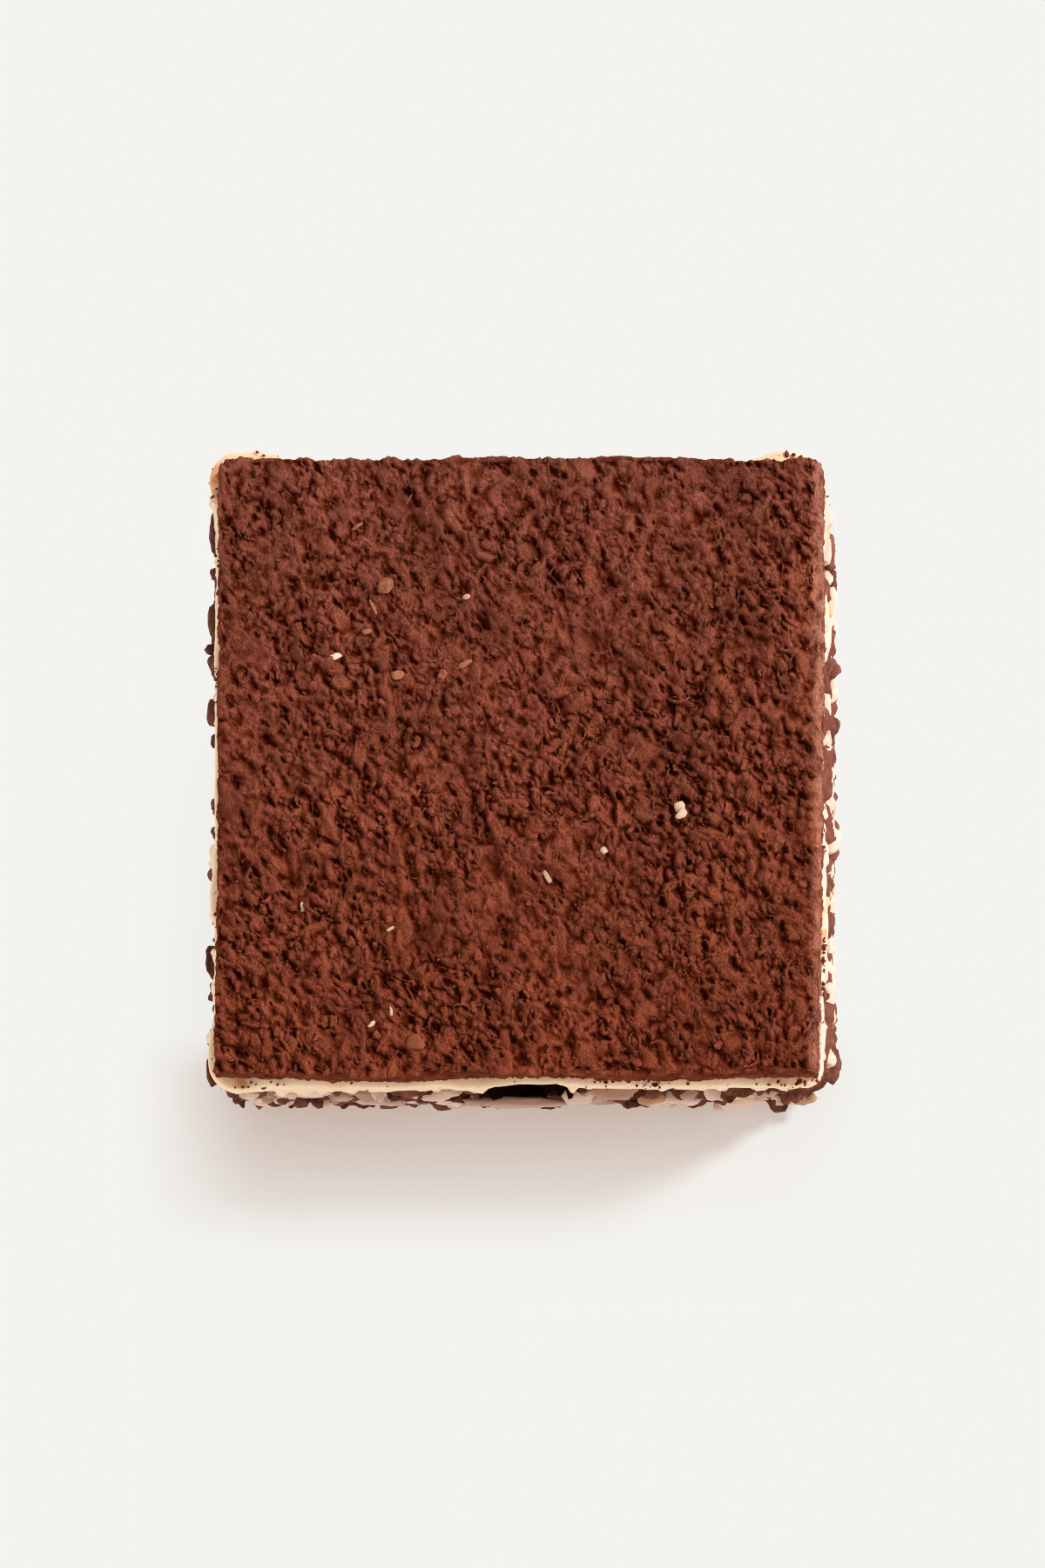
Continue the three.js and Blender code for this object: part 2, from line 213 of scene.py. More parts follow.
# Loose strands and crumbs on the top. Half their length is in radii, plus the extra
STRAND_SEED = 5
STRAND_COUNT = 700
STRAND_SIDES = 6
STRAND_RINGS = 3
STRAND_MARGIN = 1.2
STRAND_RADIUS = (0.11, 0.45)
STRAND_LENGTH = (1.0, 1.5)
STRAND_EXTRA = 0.4
STRAND_TURN_SPREAD = 1.4 * SHRED_TURN_SPREAD
STRAND_LEAN = 0.3
STRAND_BEND = 0.5
STRAND_LIFT = 0.1
STRAND_BLUNT = 0.72
STRAND_THICKNESS = (0.75, 1.15)
STRAND_ROUNDNESS = (0.85, 1.15)
STRAND_RELIEF = (0.45, 0.80)

# Pale flecks and tan crumbs on the top: (x, y, length, width, turn in degrees, how pale)
FLECKS = (
    (-19.4, 11.6, 1.4, 0.75, 10, 1.0),
    (-5.6, 17.9, 0.85, 0.6, 40, 0.65),
    (17.0, -4.45, 1.2, 0.95, 20, 0.78),
    (17.2, -5.3, 1.1, 0.85, 60, 0.78),
    (9.0, -9.0, 0.8, 0.75, 0, 0.8),
    (3.0, -11.8, 1.4, 0.5, 120, 0.65),
    (-22.9, -15.0, 1.1, 0.45, 100, 0.8),
    (-13.6, -17.4, 0.9, 0.35, 30, 0.7),
    (-15.3, -27.5, 0.9, 0.45, 50, 0.75),
    (-13.3, -26.1, 1.0, 0.35, 95, 0.7),
    (-14.1, 19.1, 1.7, 1.5, 20, 0.28),
    (-15.5, 16.8, 1.7, 0.3, 115, 0.4),
    (-16.1, 14.2, 1.2, 0.6, 15, 0.32),
    (-12.9, 9.6, 1.2, 0.9, 0, 0.4),
    (-5.8, 10.7, 1.4, 0.6, 30, 0.42),
    (-8.2, 9.6, 1.0, 0.8, 60, 0.25),
    (-10.7, -29.3, 1.8, 1.6, 0, 0.14),
    (-11.7, 28.4, 1.6, 0.22, 60, 0.4),
    (-17.3, 25.4, 1.5, 0.45, 35, 0.3),
)
FLECK_SEED = 8
FLECK_ENDS = (-0.4, 0.4)
FLECK_LIFT = 0.1
FLECK_THICKNESS = 0.3

# How the layers below the crumb are drawn: inset of their caps, steps down their sides and round their edges
LAYER_INSET = 2.5
LAYER_STEP = 0.3
EDGE_STEPS = 6
FOOT_STEPS = 4
MIDDLE_TINT = 0.5

# The cream: how far it stands out beyond the crumb on each side, how much paler painted light it takes there,
# and its bulges
CREAM_CORNER = 2.0
CREAM_EDGE = 0.5
CREAM_SPACING = 0.32
CREAM_PROUD = {"front": 0.56, "right": -0.05, "back": 0.35, "left": 0.50}
# Painted light: how much paler each side of the cream is painted
CREAM_SIDE_LIGHT = {"front": 0.0, "right": 0.6, "back": 0.1, "left": 0.1}
CREAM_BULGES = (
    (-29.5, 33.2, 4.2, 1.5),
    (31.8, 29.4, 2.2, 0.6),
    (32.0, 24.0, 3.2, -0.4),
    (28.0, 33.2, 3.0, 1.25),
    (-33.0, -30.5, 3.6, 0.95),
    (32.0, -32.0, 2.6, 0.3),
    (-32.0, -13.0, 3.2, 0.4),
    (32.0, -16.0, 5.0, 0.3),
    (-18.0, -32.8, 12.0, 0.1),
)

# The cream's side: its swell, noise read at scaled points, a ragged foot and small holes
CREAM_SWELL = 0.15
CREAM_WAVE = (0.24, 4.5, 3, 71)
CREAM_WAVE_SCALE = (1.0, 1.0, 0.5)
CREAM_STREAKS = (0.06, 0.9, 3, 74)
CREAM_STREAK_SCALE = (0.12, 0.12, 1.0)
CREAM_RAGGED = (1.1, 1.7, 3, 76)
CREAM_RAGGED_SCALE = (0.8, 0.8, 0.6)
CREAM_RAGGED_MEAN = 0.15
CREAM_RAGGED_HEIGHT = 3.6
CREAM_WARP = (0.8, 0.3, 78)
CREAM_HOLES = (0.35, 2.6, 0.13, 0.6, 79)

# The cream leans back under the crumb on the right of its front: where, and how far at its foot
CREAM_LEAN_RUN = (2.0, 5.0)
CREAM_LEAN = 0.3

# Brown stains on the cream: (x, y, reach)
CREAM_STAINS = ((-29.6, -33.0, 1.7), (28.4, -33.0, 2.6), (32.2, -16.6, 3.4), (-31.5, 31.0, 2.0))
STAIN_FLATNESS = 4
STAIN_MEAN = 0.6
STAIN_PATCHES = (1.0, 0.9, 3, 82)
STAIN_LEAST = 0.1

# A hollow under the cream at the front, and how far round it the base is painted dark as shade
GAP_ALONG = 0.4
GAP_LEVEL = 10.8
GAP_HALF_LENGTH = 4.4
GAP_HALF_HEIGHT = 2.6
GAP_DEPTH = 3.0
GAP_EDGE = 3  # steepness of its rim
GAP_SHADE = 2.0
GAP_SHADE_EDGE = 1.5  # steepness of the dark's fading
# Painted shade: the tint that darkens the base in and round the hollow
GAP_SHADE_TINT = -2  # tint of the darkest part
GAP_RAGGED = (0.8, 1.6, 3, 83)
GAP_FACING = 0.9  # how squarely a side with it faces the front
GAP_FOOT = 6.0  # small lumps above this level stay out of it
GAP_IN_CREAM = 2.2  # how far the cream above it is drawn back

# Cocoa specks on the cream: most of them on its ledge, the rest down its side
SPECK_SEED = 31
SPECK_FORM_SEED = 35
SPECK_COUNT = 260
SPECK_SPACING = 0.1
SPECK_MEAN = 0.1
SPECK_CLUSTERS = (1.0, 5.0, 2, 33)
SPECK_LEAST = 0.01
SPECK_FALL = 3.0
SPECK_INSET = 0.1
SPECK_SIZE = (0.07, 0.22)
SPECK_STRETCH = (0.7, 1.5)
SPECK_TURN = 1.5
LEDGE_SHARE = 0.75

# Larger cocoa crumbs on the cream's ledge, at the back and the front: (x, y, size)
LEDGE_CRUMBS = (
    (28.3, 32.8, 0.34), (29.0, 32.8, 0.30), (29.7, 32.8, 0.22), (30.2, 32.8, 0.14),
    (-30.3, -32.8, 0.14), (-29.6, -32.8, 0.18), (-29.0, -32.8, 0.16), (-25.9, -32.8, 0.2),
    (-25.2, -32.8, 0.14), (25.0, -32.8, 0.16), (26.3, -32.8, 0.2), (27.6, -32.8, 0.16),
    (29.2, -32.8, 0.22), (30.1, -32.8, 0.18),
)
LEDGE_CRUMB_STRETCH = np.array([1.4, 0.8, 0.7])
LEDGE_CRUMB_PLACE = 0.75

# The base: how far it stands out beyond the crumb on each side, where it falls back, and its crags
BASE_CORNER = 3.0
BASE_TOP_EDGE = 1.8
BASE_FOOT_EDGE = 0.8
BASE_SPACING = 0.36
BASE_PROUD = {"front": 0.55, "right": 0.5, "back": 0.45, "left": 0.2}
BASE_BULGES = ((32.0, 31.0, 4.0, -0.7), (32.0, -32.0, 3.5, -0.5))
BASE_WARP = (1.5, 0.8, 81)
BASE_CRAGS = (1.3, 2.6, 85)
BASE_KNOBS = (0.6, 1.1, 91)
BASE_MEAN = 0.55
BASE_SWELL = (0.35, 5.0, 2, 95)
BASE_GRAIN = (0.08, 0.6, 2, 99)

# How thickly the base is coated with paler chocolate on each side, and how much more on the left of its front
BASE_COATING = {"front": -0.2, "right": 0.35, "back": 0.1, "left": 0.0}
FRONT_COATING = 0.3
FRONT_COATING_RUN = (4.0, -4.0)

# What the base's sides are made of: (kind, number on each side, length, squareness, curl, name of the piece)
LUMP_KINDS = (
    ("flake", 76, (1.4, 5.4), 0.75, 0.10, "flakes"),
    ("chocolate", 56, (1.2, 3.4), 0.8, 0.0, "chocolate_bits"),
    ("nut", 12, (1.2, 3.0), 0.8, 0.05, "nut_bits"),
)
LUMP_SEED = 200
LUMP_FORM_SEED = 300
LUMP_DETAIL = 3
LUMP_ROUGHNESS = 0.42
LUMP_NOISE = (1.1, 3)  # span and octaves, on a ball of radius 1
LUMP_SPREAD = 500  # far enough for each lump to have noise of its own
LUMP_RELIEF = (0.45, 1.0)
LUMP_FLATNESS = (0.3, 0.65)
LUMP_THICKEST = 2.4
LUMP_FOOT = 0.5
LUMP_HEAD = 0.7
LUMP_MARGIN = 1.5
LARGE_LEAN = 0.12
SMALL_LEAN = 0.4

# How far a lump is rooted behind the top's side, and how far outside it one stands in front of the hollow
LUMP_ROOT = 0.6
GAP_LUMP_STAND = 0.9

# How far the smaller lumps reach beyond the top's side, and the place along the right side where they end
LUMP_REACH = {"front": (0.9, 1.7), "right": (0.6, 1.3), "back": (0.6, 1.2), "left": (0.4, 0.9)}
RIGHT_LUMPS_END = 27.0

# The larger lumps, as in the photograph: (place along the side, level, length, thickness, reach beyond it)
LARGE_LUMPS = {
    "flake": {
        "front": (
            (-25.4, 10.2, 3.6, 1.8, 1.2), (-18.8, 9.8, 3.0, 2.0, 1.3), (-9.4, 10.8, 4.6, 1.4, 1.2),
            (-0.1, 8.2, 8.6, 1.4, 2.0), (6.2, 10.0, 2.8, 2.4, 1.6), (10.0, 10.9, 5.0, 2.0, 1.6),
            (17.7, 10.6, 1.9, 1.6, 1.2), (16.0, 8.0, 4.2, 1.6, 1.8), (26.2, 10.6, 2.9, 1.6, 1.4),
        ),
        "right": (
            (24.4, 11.0, 1.4, 1.2, 0.6), (20.0, 11.0, 1.6, 1.2, 0.6), (6.4, 10.6, 4.6, 1.4, 0.9),
            (2.9, 10.0, 1.6, 1.6, 1.1), (-1.4, 9.2, 4.6, 2.0, 1.2), (-5.8, 9.8, 3.2, 1.8, 1.8),
            (-9.6, 10.8, 1.8, 1.2, 0.9), (-20.4, 9.6, 3.4, 1.8, 1.2), (-29.5, 10.6, 2.0, 1.4, 1.3),
        ),
    },
    "nut": {
        "front": ((13.6, 10.0, 3.2, 1.8, 1.6), (23.8, 9.2, 2.6, 2.2, 1.8)),
        "right": ((18.2, 10.4, 2.6, 1.8, 1.0), (-14.2, 9.0, 2.8, 2.0, 1.2), (-25.0, 9.4, 2.0, 1.8, 1.2)),
    },
    "chocolate": {
        "front": (
            (21.3, 9.5, 2.4, 2.2, 1.5), (27.3, 7.6, 2.4, 2.0, 2.0), (11.6, 7.0, 3.0, 2.2, 1.9),
            (-4.2, 5.4, 2.2, 1.8, 1.8), (-8.6, 5.0, 2.4, 1.8, 1.7), (-14.5, 4.6, 2.4, 1.8, 1.7),
            (-18.2, 5.4, 2.0, 1.6, 1.6), (-22.0, 5.2, 2.2, 1.8, 1.6), (-28.4, 7.0, 4.6, 2.2, 1.4),
        ),
        "right": (
            (24.5, 9.5, 3.2, 2.4, 1.2), (21.8, 7.0, 2.0, 2.0, 1.7), (16.4, 7.6, 2.6, 2.0, 1.5),
            (12.4, 6.0, 2.2, 1.6, 1.8), (5.6, 7.0, 2.4, 2.0, 1.5), (-7.3, 8.0, 2.0, 1.8, 1.7),
            (-30.2, 7.0, 3.4, 2.2, 1.9),
        ),
        "left": (
            (-26.9, 8.0, 5.1, 2.6, 1.5), (-22.4, 8.0, 1.4, 1.4, 1.2), (-16.9, 8.0, 4.8, 2.6, 1.5),
            (-14.3, 8.0, 1.0, 1.0, 1.7), (-12.4, 8.0, 2.4, 2.2, 1.45), (-7.5, 8.0, 2.6, 2.2, 1.6),
            (-4.4, 8.0, 1.4, 1.6, 1.3), (2.5, 8.0, 1.6, 1.8, 1.4), (9.9, 8.0, 2.0, 1.8, 1.8),
            (18.8, 8.0, 3.4, 2.2, 1.7), (22.3, 8.0, 2.2, 2.2, 1.8), (27.4, 8.0, 2.2, 2.0, 1.6),
            (30.6, 9.6, 4.6, 2.4, 1.6),
        ),
    },
}

# Colours
# The pit colour is darker and redder: partly the cocoa's own tone, partly painted shade in the pits
COCOA_PIT_TONE_AND_SHADE = (0.098, 0.0140, 0.0045)
COCOA_CREST = (0.2534, 0.0597, 0.0284)
# Painted light: the cocoa turns lighter and paler towards the back
COCOA_BACK_LIGHT = (0.20, 0.10, 0.085)
# Cocoa dust, also painted light on the right side and the pressed band
COCOA_DUST_AND_LIGHT = (0.46, 0.19, 0.125)
CREAM = (0.98, 0.71, 0.49)
CREAM_WARM = (0.94, 0.60, 0.33)
# The paler tone of painted light on some sides of the cream
CREAM_SIDE_LIGHT_TONE = (0.72, 0.58, 0.48)
CREAM_STAIN = (0.72, 0.32, 0.10)
CREAM_SPECK = (0.30, 0.12, 0.05)
FLECK_BROWN = (0.27, 0.074, 0.038)
FLECK_TAN = (0.44, 0.175, 0.09)
FLECK_PALE = (0.86, 0.64, 0.47)
FLECK_DUST = (0.19, 0.050, 0.027)
# Painted shade in the hollow under the cream
HOLLOW_SHADE = (0.010, 0.0028, 0.0018)
BLACK = (0.0, 0.0, 0.0)

# Chocolates: (name, dark, light, gloss), then flakes and nuts: (name, pale, stain, how stained)
BASE_MASS = ("base_mass", (0.026, 0.006, 0.003), (0.23, 0.080, 0.053), 0.0)
CHOCOLATE = ("chocolate", (0.055, 0.012, 0.006), (0.27, 0.098, 0.066), 0.05)
FLAKE = ("pale_flake", (0.80, 0.58, 0.47), (0.42, 0.20, 0.13), 0.45)
NUT = ("nut", (0.80, 0.50, 0.29), (0.50, 0.25, 0.12), 0.5)


def unit(values):
    """Values held between 0 and 1."""
    return np.clip(values, 0, 1)


def ramp(values, low, high):
    """Shares that rise evenly from 0 at low to 1 at high."""
    return unit((values - low) / (high - low))


def eased(values, low, high):
    """Shares that rise smoothly from 0 at low to 1 at high."""
    share = ramp(values, low, high)
    return share**2 * (3 - 2 * share)


def within(limits, draws):
    """Values spread between two limits by draws from 0 to 1."""
    return limits[0] + (limits[1] - limits[0]) * draws


def hashed(cells, seed):
    """A repeatable number from 0 to 1 for each cell of a lattice."""
    x, y, z = (cells * HASH_FACTORS).T
    mixed = (x ^ y ^ z ^ (seed * HASH_SEED_FACTOR)) & HASH_MASK
    for _ in range(2):
        mixed = ((mixed ^ (mixed >> 16)) * HASH_MIXER) & HASH_MASK
    return (mixed ^ (mixed >> 16)) / HASH_MASK


def smooth_noise(points, span, seed):
    """Smooth noise from -1 to 1 with features about one span across."""
    scaled = points / span
    cell = np.floor(scaled).astype(np.int64)
    part = scaled - cell
    ease = part**3 * (part * (part * 6 - 15) + 10)
    total = np.zeros(len(points))
    for corner in product((0, 1), repeat=3):
        x, y, z = np.abs(1 - np.array(corner) - ease).T
        total += x * y * z * hashed(cell + corner, seed)
    return 2 * total - 1


def fractal(points, span, octaves, seed):
    """Smooth noise in several octaves, each half as large and half as strong as the one before."""
    total = np.zeros(len(points))
    for octave in range(octaves):
        total += smooth_noise(points, span / 2**octave, seed + octave) / 2**octave
    return total


def heights(points, noise):
    """Heights from noise given as (height, span, octaves, seed)."""
    height, span, octaves, seed = noise
    return height * fractal(points, span, octaves, seed)


def warped(points, span, amount, seed):
    """Points shifted about by noise, so that regular cells become ragged."""
    shift = np.stack([smooth_noise(points, span, seed + i) for i in range(3)], axis=1)
    return points + amount * shift


def cell_distance(points, span, seed):
    """Distance, in spans, to the nearest of points scattered one to a lattice cell, and that point's draw."""
    scaled = points / span
    cell = np.floor(scaled).astype(np.int64)
    nearest = np.full(len(points), FAR)
    draw = np.zeros(len(points))
    for offset in product((-1, 0, 1), repeat=3):
        other = cell + offset
        place = other + np.stack([hashed(other, seed + i) for i in range(3)], axis=1)
        distance = np.linalg.norm(scaled - place, axis=1)
        closer = distance < nearest
        nearest = np.where(closer, distance, nearest)
        draw = np.where(closer, hashed(other, seed + 3), draw)
    return nearest, draw


def domes(points, height, span, seed):
    """Heights of low domes, one to a cell and each as high as its draw, and that draw."""
    distance, draw = cell_distance(points, span, seed)
    return height * unit(1 - distance**2) * draw, draw


def holes(points, depth, span, size, least, seed):
    """Depths of round holes, in cells with more than the least draw. Their size is a share of the span."""
    distance, draw = cell_distance(points, span, seed)
    return depth * np.exp(-((distance / size) ** 2)) * (draw > least)


def seam_wave(points, seam):
    """How far the seam lies above its level at the points' x and y."""
    return heights(points * [1, 1, 0], seam)


def by_side(values, outward):
    """A value for each point from values for the four sides, blended round the corners."""
    toward = {"front": -outward[:, 1], "right": outward[:, 0], "back": outward[:, 1], "left": -outward[:, 0]}
    return sum(values[side] * unit(toward[side]) ** 2 for side in SIDES)


def bulge(points, bulges):
    """Extra reach at points near any of the bulges, which are given as (x, y, reach, extra)."""
    total = np.zeros(len(points))
    for x, y, reach, extra in bulges:
        total += extra * np.exp(-((points[:, 0] - x) ** 2 + (points[:, 1] - y) ** 2) / reach**2)
    return total


def new_mesh(name, vertices, faces, material, smooth, attributes):
    """An object made from arrays of vertices in millimetres and of faces with equal numbers of corners."""
    mesh = bpy.data.meshes.new(name)
    faces = np.asarray(faces, dtype=np.int32)
    mesh.vertices.add(len(vertices))
    mesh.vertices.foreach_set("co", (np.asarray(vertices, dtype=np.float32) * MM).ravel())
    mesh.loops.add(faces.size)
    mesh.loops.foreach_set("vertex_index", faces.ravel())
    mesh.polygons.add(len(faces))
    mesh.polygons.foreach_set("loop_start", np.arange(0, faces.size, faces.shape[1], dtype=np.int32))
    mesh.polygons.foreach_set("use_smooth", np.full(len(faces), smooth))
    mesh.update(calc_edges=True)
    for key, values in attributes.items():
        layer = mesh.attributes.new(key, "FLOAT", "POINT")
        layer.data.foreach_set("value", np.asarray(values, dtype=np.float32))
    mesh.materials.append(material)
    piece = bpy.data.objects.new(name, mesh)
    bpy.context.scene.collection.objects.link(piece)
    return piece


def grid_faces(rows, columns, wrap=False):
    """Quads of a grid of vertices stored row by row. With wrap, the last column joins the first."""
    last = columns if wrap else columns - 1
    row, column = np.meshgrid(np.arange(rows - 1) * columns, np.arange(last), indexing="ij")
    row, column = row.ravel(), column.ravel()
    beside = (column + 1) % columns
    below = row + columns
    return np.stack([row + column, row + beside, below + beside, below + column], axis=1)


def split(quads):
    """Quads cut into triangles."""
    return np.concatenate([quads[:, [0, 1, 2]], quads[:, [0, 2, 3]]])


def fan(ring, tip):
    """Triangles between a closed ring of vertices and one more vertex."""
    return np.stack([ring, np.roll(ring, -1), np.full(len(ring), tip)], axis=1)


def rounded(points):
    """Points of the crumb's box moved onto the same box with rounded edges, and their normals."""
    inner = CRUMB_HALF - CRUMB_RADIUS
    core = np.clip(points, -inner, inner)
    outward = points - core
    outward /= np.linalg.norm(outward, axis=1, keepdims=True)
    return core + CRUMB_RADIUS * outward, outward


def plane(x, y, z):
    """Points of a grid at one level, row by row."""
    gy, gx = np.meshgrid(y, x, indexing="ij")
    return np.stack([gx.ravel(), gy.ravel(), np.full(gx.size, z)], axis=1)


def raster_shape():
    """Rows and columns of a raster of points over the top and a margin round it."""
    return tuple(round((side + 2 * RASTER_MARGIN) / CRUMB_CELL) + 1 for side in (SLICE_DEPTH, SLICE_WIDTH))


def raster_places():
    """The raster's points, on the plane of the top."""
    rows, columns = raster_shape()
    x = np.arange(columns) * CRUMB_CELL - HALF_WIDTH - RASTER_MARGIN
    y = np.arange(rows) * CRUMB_CELL - HALF_DEPTH - RASTER_MARGIN
    return plane(x, y, 0.0)


def sampled(raster, points):
    """Values of a raster at points of the top, blended between its own points."""
    rows, columns = np.array(raster.shape) - RASTER_END
    column = np.clip((points[:, 0] + HALF_WIDTH + RASTER_MARGIN) / CRUMB_CELL, 0, columns)
    row = np.clip((points[:, 1] + HALF_DEPTH + RASTER_MARGIN) / CRUMB_CELL, 0, rows)
    i, j = np.floor(row).astype(np.int64), np.floor(column).astype(np.int64)
    v, u = row - i, column - j
    upper = raster[i, j] * (1 - u) + raster[i, j + 1] * u
    lower = raster[i + 1, j] * (1 - u) + raster[i + 1, j + 1] * u
    return upper * (1 - v) + lower * v


def blurred(raster, radius):
    """A raster smoothed over a radius."""
    rows, columns = raster.shape
    across = np.fft.rfftfreq(columns, CRUMB_CELL)
    down = np.fft.fftfreq(rows, CRUMB_CELL)
    weight = np.exp(-2 * (math.pi * radius) ** 2 * (down[:, None] ** 2 + across[None] ** 2))
    return np.fft.irfft2(np.fft.rfft2(raster) * weight, s=raster.shape)


class Pile:
    """Heights on the raster, built up from small shapes, with a draw for each shape that shows."""

    def __init__(self):
        self.rng = np.random.default_rng(PILE_SEED)
        self.rows, self.columns = raster_shape()
        self.height = np.full(self.rows * self.columns, PILE_FLOOR)
        self.tint = np.full(self.rows * self.columns, MIDDLE_TINT)

    def draws(self, limits, count, power=1.0):
        """A draw between two limits for each shape."""
        return within(limits, self.rng.random(count) ** power)[:, None, None]

    def draws_round(self, mean, spread, count):
        """A draw round a mean for each shape."""
        return self.rng.normal(mean, spread, count)[:, None, None]

    def strew(self, count, reach):
        """Draws middles at random. Gives the raster points near each by index, along a turn and across it."""
        steps = np.arange(-math.ceil(reach / CRUMB_CELL), math.ceil(reach / CRUMB_CELL) + 1)
        middle = self.rng.random((count, 2)) * [self.columns, self.rows]
        nearest = middle.astype(np.int64)
        column = nearest[:, 0, None, None] + steps[None, None, :]
        row = nearest[:, 1, None, None] + steps[None, :, None]
        dx = (column - middle[:, 0, None, None]) * CRUMB_CELL
        dy = (row - middle[:, 1, None, None]) * CRUMB_CELL
        turn = self.draws_round(SHRED_TURN, SHRED_TURN_SPREAD, count)
        along = dx * np.cos(turn) + dy * np.sin(turn)
        across = dy * np.cos(turn) - dx * np.sin(turn)
        on_raster = (column >= 0) & (column < self.columns) & (row >= 0) & (row < self.rows)
        return np.where(on_raster, row * self.columns + column, -1), along, across

    def stack(self, index, inside, height):
        """Lays shapes on the pile. The highest one at a point shows."""
        inside = inside & (index >= 0)
        draw = np.broadcast_to(self.rng.random(len(index))[:, None, None], index.shape)[inside]
        index, height = index[inside], height[inside]
        order = np.argsort(height)
        index, height, draw = index[order], height[order], draw[order]
        shows = height > self.height[index]
        self.height[index[shows]] = height[shows]
        self.tint[index[shows]] = draw[shows]

    def add_chips(self, count, radius_limits, stretch_limits, top_limits, tilt):
        """Angular chips: a tilted top cut off by steep sides."""
        index, along, across = self.strew(count, radius_limits[1] * stretch_limits[1] * CHIP_REACH)
        radius = self.draws(radius_limits, count, SMALLNESS)
        along = along / self.draws(stretch_limits, count)
        side = np.full(index.shape, FAR)
        first = self.rng.uniform(0, 2 * math.pi, count)[:, None, None]
        for i in range(CHIP_SIDES):
            facing = first + (i + self.draws_round(0, CHIP_UNEVENNESS, count)) / CHIP_SIDES * 2 * math.pi
            reach = radius * self.draws(CHIP_SIDE_REACH, count)
            steep = self.draws(CHIP_STEEPNESS, count)
            side = np.minimum(side, steep * (reach - along * np.cos(facing) - across * np.sin(facing)))
        slope = self.rng.normal(0, tilt, (2, count, 1, 1))
        top = slope[0] * along + slope[1] * across
        level = self.draws(top_limits, count)
        self.stack(index, side > CHIP_FOOT, level + np.minimum(top, side))

    def add_strands(self, count, radius_limits, length_limits, crest_limits, bend_size):
        """Bent strands with a round back, or round grains where they have next to no length."""
        index, along, across = self.strew(count, radius_limits[1] + length_limits[1])
        radius = self.draws(radius_limits, count, SMALLNESS)
        bend = self.draws_round(0, bend_size, count)
        beyond = np.maximum(np.abs(along) - self.draws(length_limits, count, STRAND_SHORTNESS), 0)
        under = radius**2 - (across - bend * along**2) ** 2 - beyond**2
        slope = self.draws_round(0, STRAND_SLOPE, count)
        level = self.draws(crest_limits, count) - radius
        self.stack(index, under > 0, level + slope * along + np.sqrt(np.maximum(under, 0)))


def along_shreds(points):
    """Points drawn together along the shreds' turn, so that noise read there is stretched that way."""
    along = np.array([math.cos(SHRED_TURN), math.sin(SHRED_TURN), 0.0])
    return points - SHRED_STRETCH * (points @ along)[:, None] * along


def crumb_rasters():
    """Rasters of the top: its relief, how much of a crest each place is, and a draw for each shape."""
    pile = Pile()
    for kind in CHIP_KINDS:
        pile.add_chips(*kind)
    for kind in STRAND_KINDS:
        pile.add_strands(*kind)
    shape = raster_shape()
    places = raster_places()
    stretched = along_shreds(places)
    height = pile.height.reshape(shape)
    dust = unit(DUST_MEAN - DUST_FALL * places[:, 0] + heights(places, DUST_PATCHES)).reshape(shape)
    settled = height + dust * (blurred(height, DUST_BLUR) - height)
    uneven = heights(stretched, DUST_RELIEF)
    for depth, noise, limits in HOLLOWS:
        uneven -= depth * eased(heights(stretched, noise), *limits)
    rough = np.clip(ROUGH_MEAN + heights(places, ROUGH_PATCHES), *ROUGH_LIMITS).reshape(shape)
    relief = rough * (settled - settled.mean()) + uneven.reshape(shape)
    crest = relief - blurred(relief, CREST_BLUR)
    swell = heights(places, TOP_SWELL).reshape(shape)
    grain = GRAIN_HEIGHT * pile.rng.normal(0, 1, shape)
    return relief - relief.mean() + swell + grain, crest, pile.tint.reshape(shape)


def side_relief(points):
    """Relief of the crumb's cut sides, how much of a crest each point is, and a draw for each crumb."""
    ragged = warped(points, *SIDE_WARP)
    large, _ = domes(ragged, *SIDE_LUMPS)
    small, draw = domes(ragged, *SIDE_CRUMBS)
    crest = large + small - holes(ragged, *SIDE_PITS) + heights(points, SIDE_GRAIN) - SIDE_MEAN
    return crest + heights(points, SIDE_SWELL), crest, draw


def round_back_corners(points):
    """Points with the corners of the block's back drawn in to a round plan."""
    across = np.maximum(np.abs(points[:, 0]) - (HALF_WIDTH - BACK_CORNER), 0)
    deep = np.maximum(points[:, 1] - (HALF_DEPTH - BACK_CORNER), 0)
    share = np.maximum(across, deep) / np.maximum(np.hypot(across, deep), TINY)
    drawn = points.copy()
    drawn[:, 0] -= np.sign(points[:, 0]) * across * (1 - share) * (deep > 0)
    drawn[:, 1] -= deep * (1 - share) * (across > 0)
    return drawn


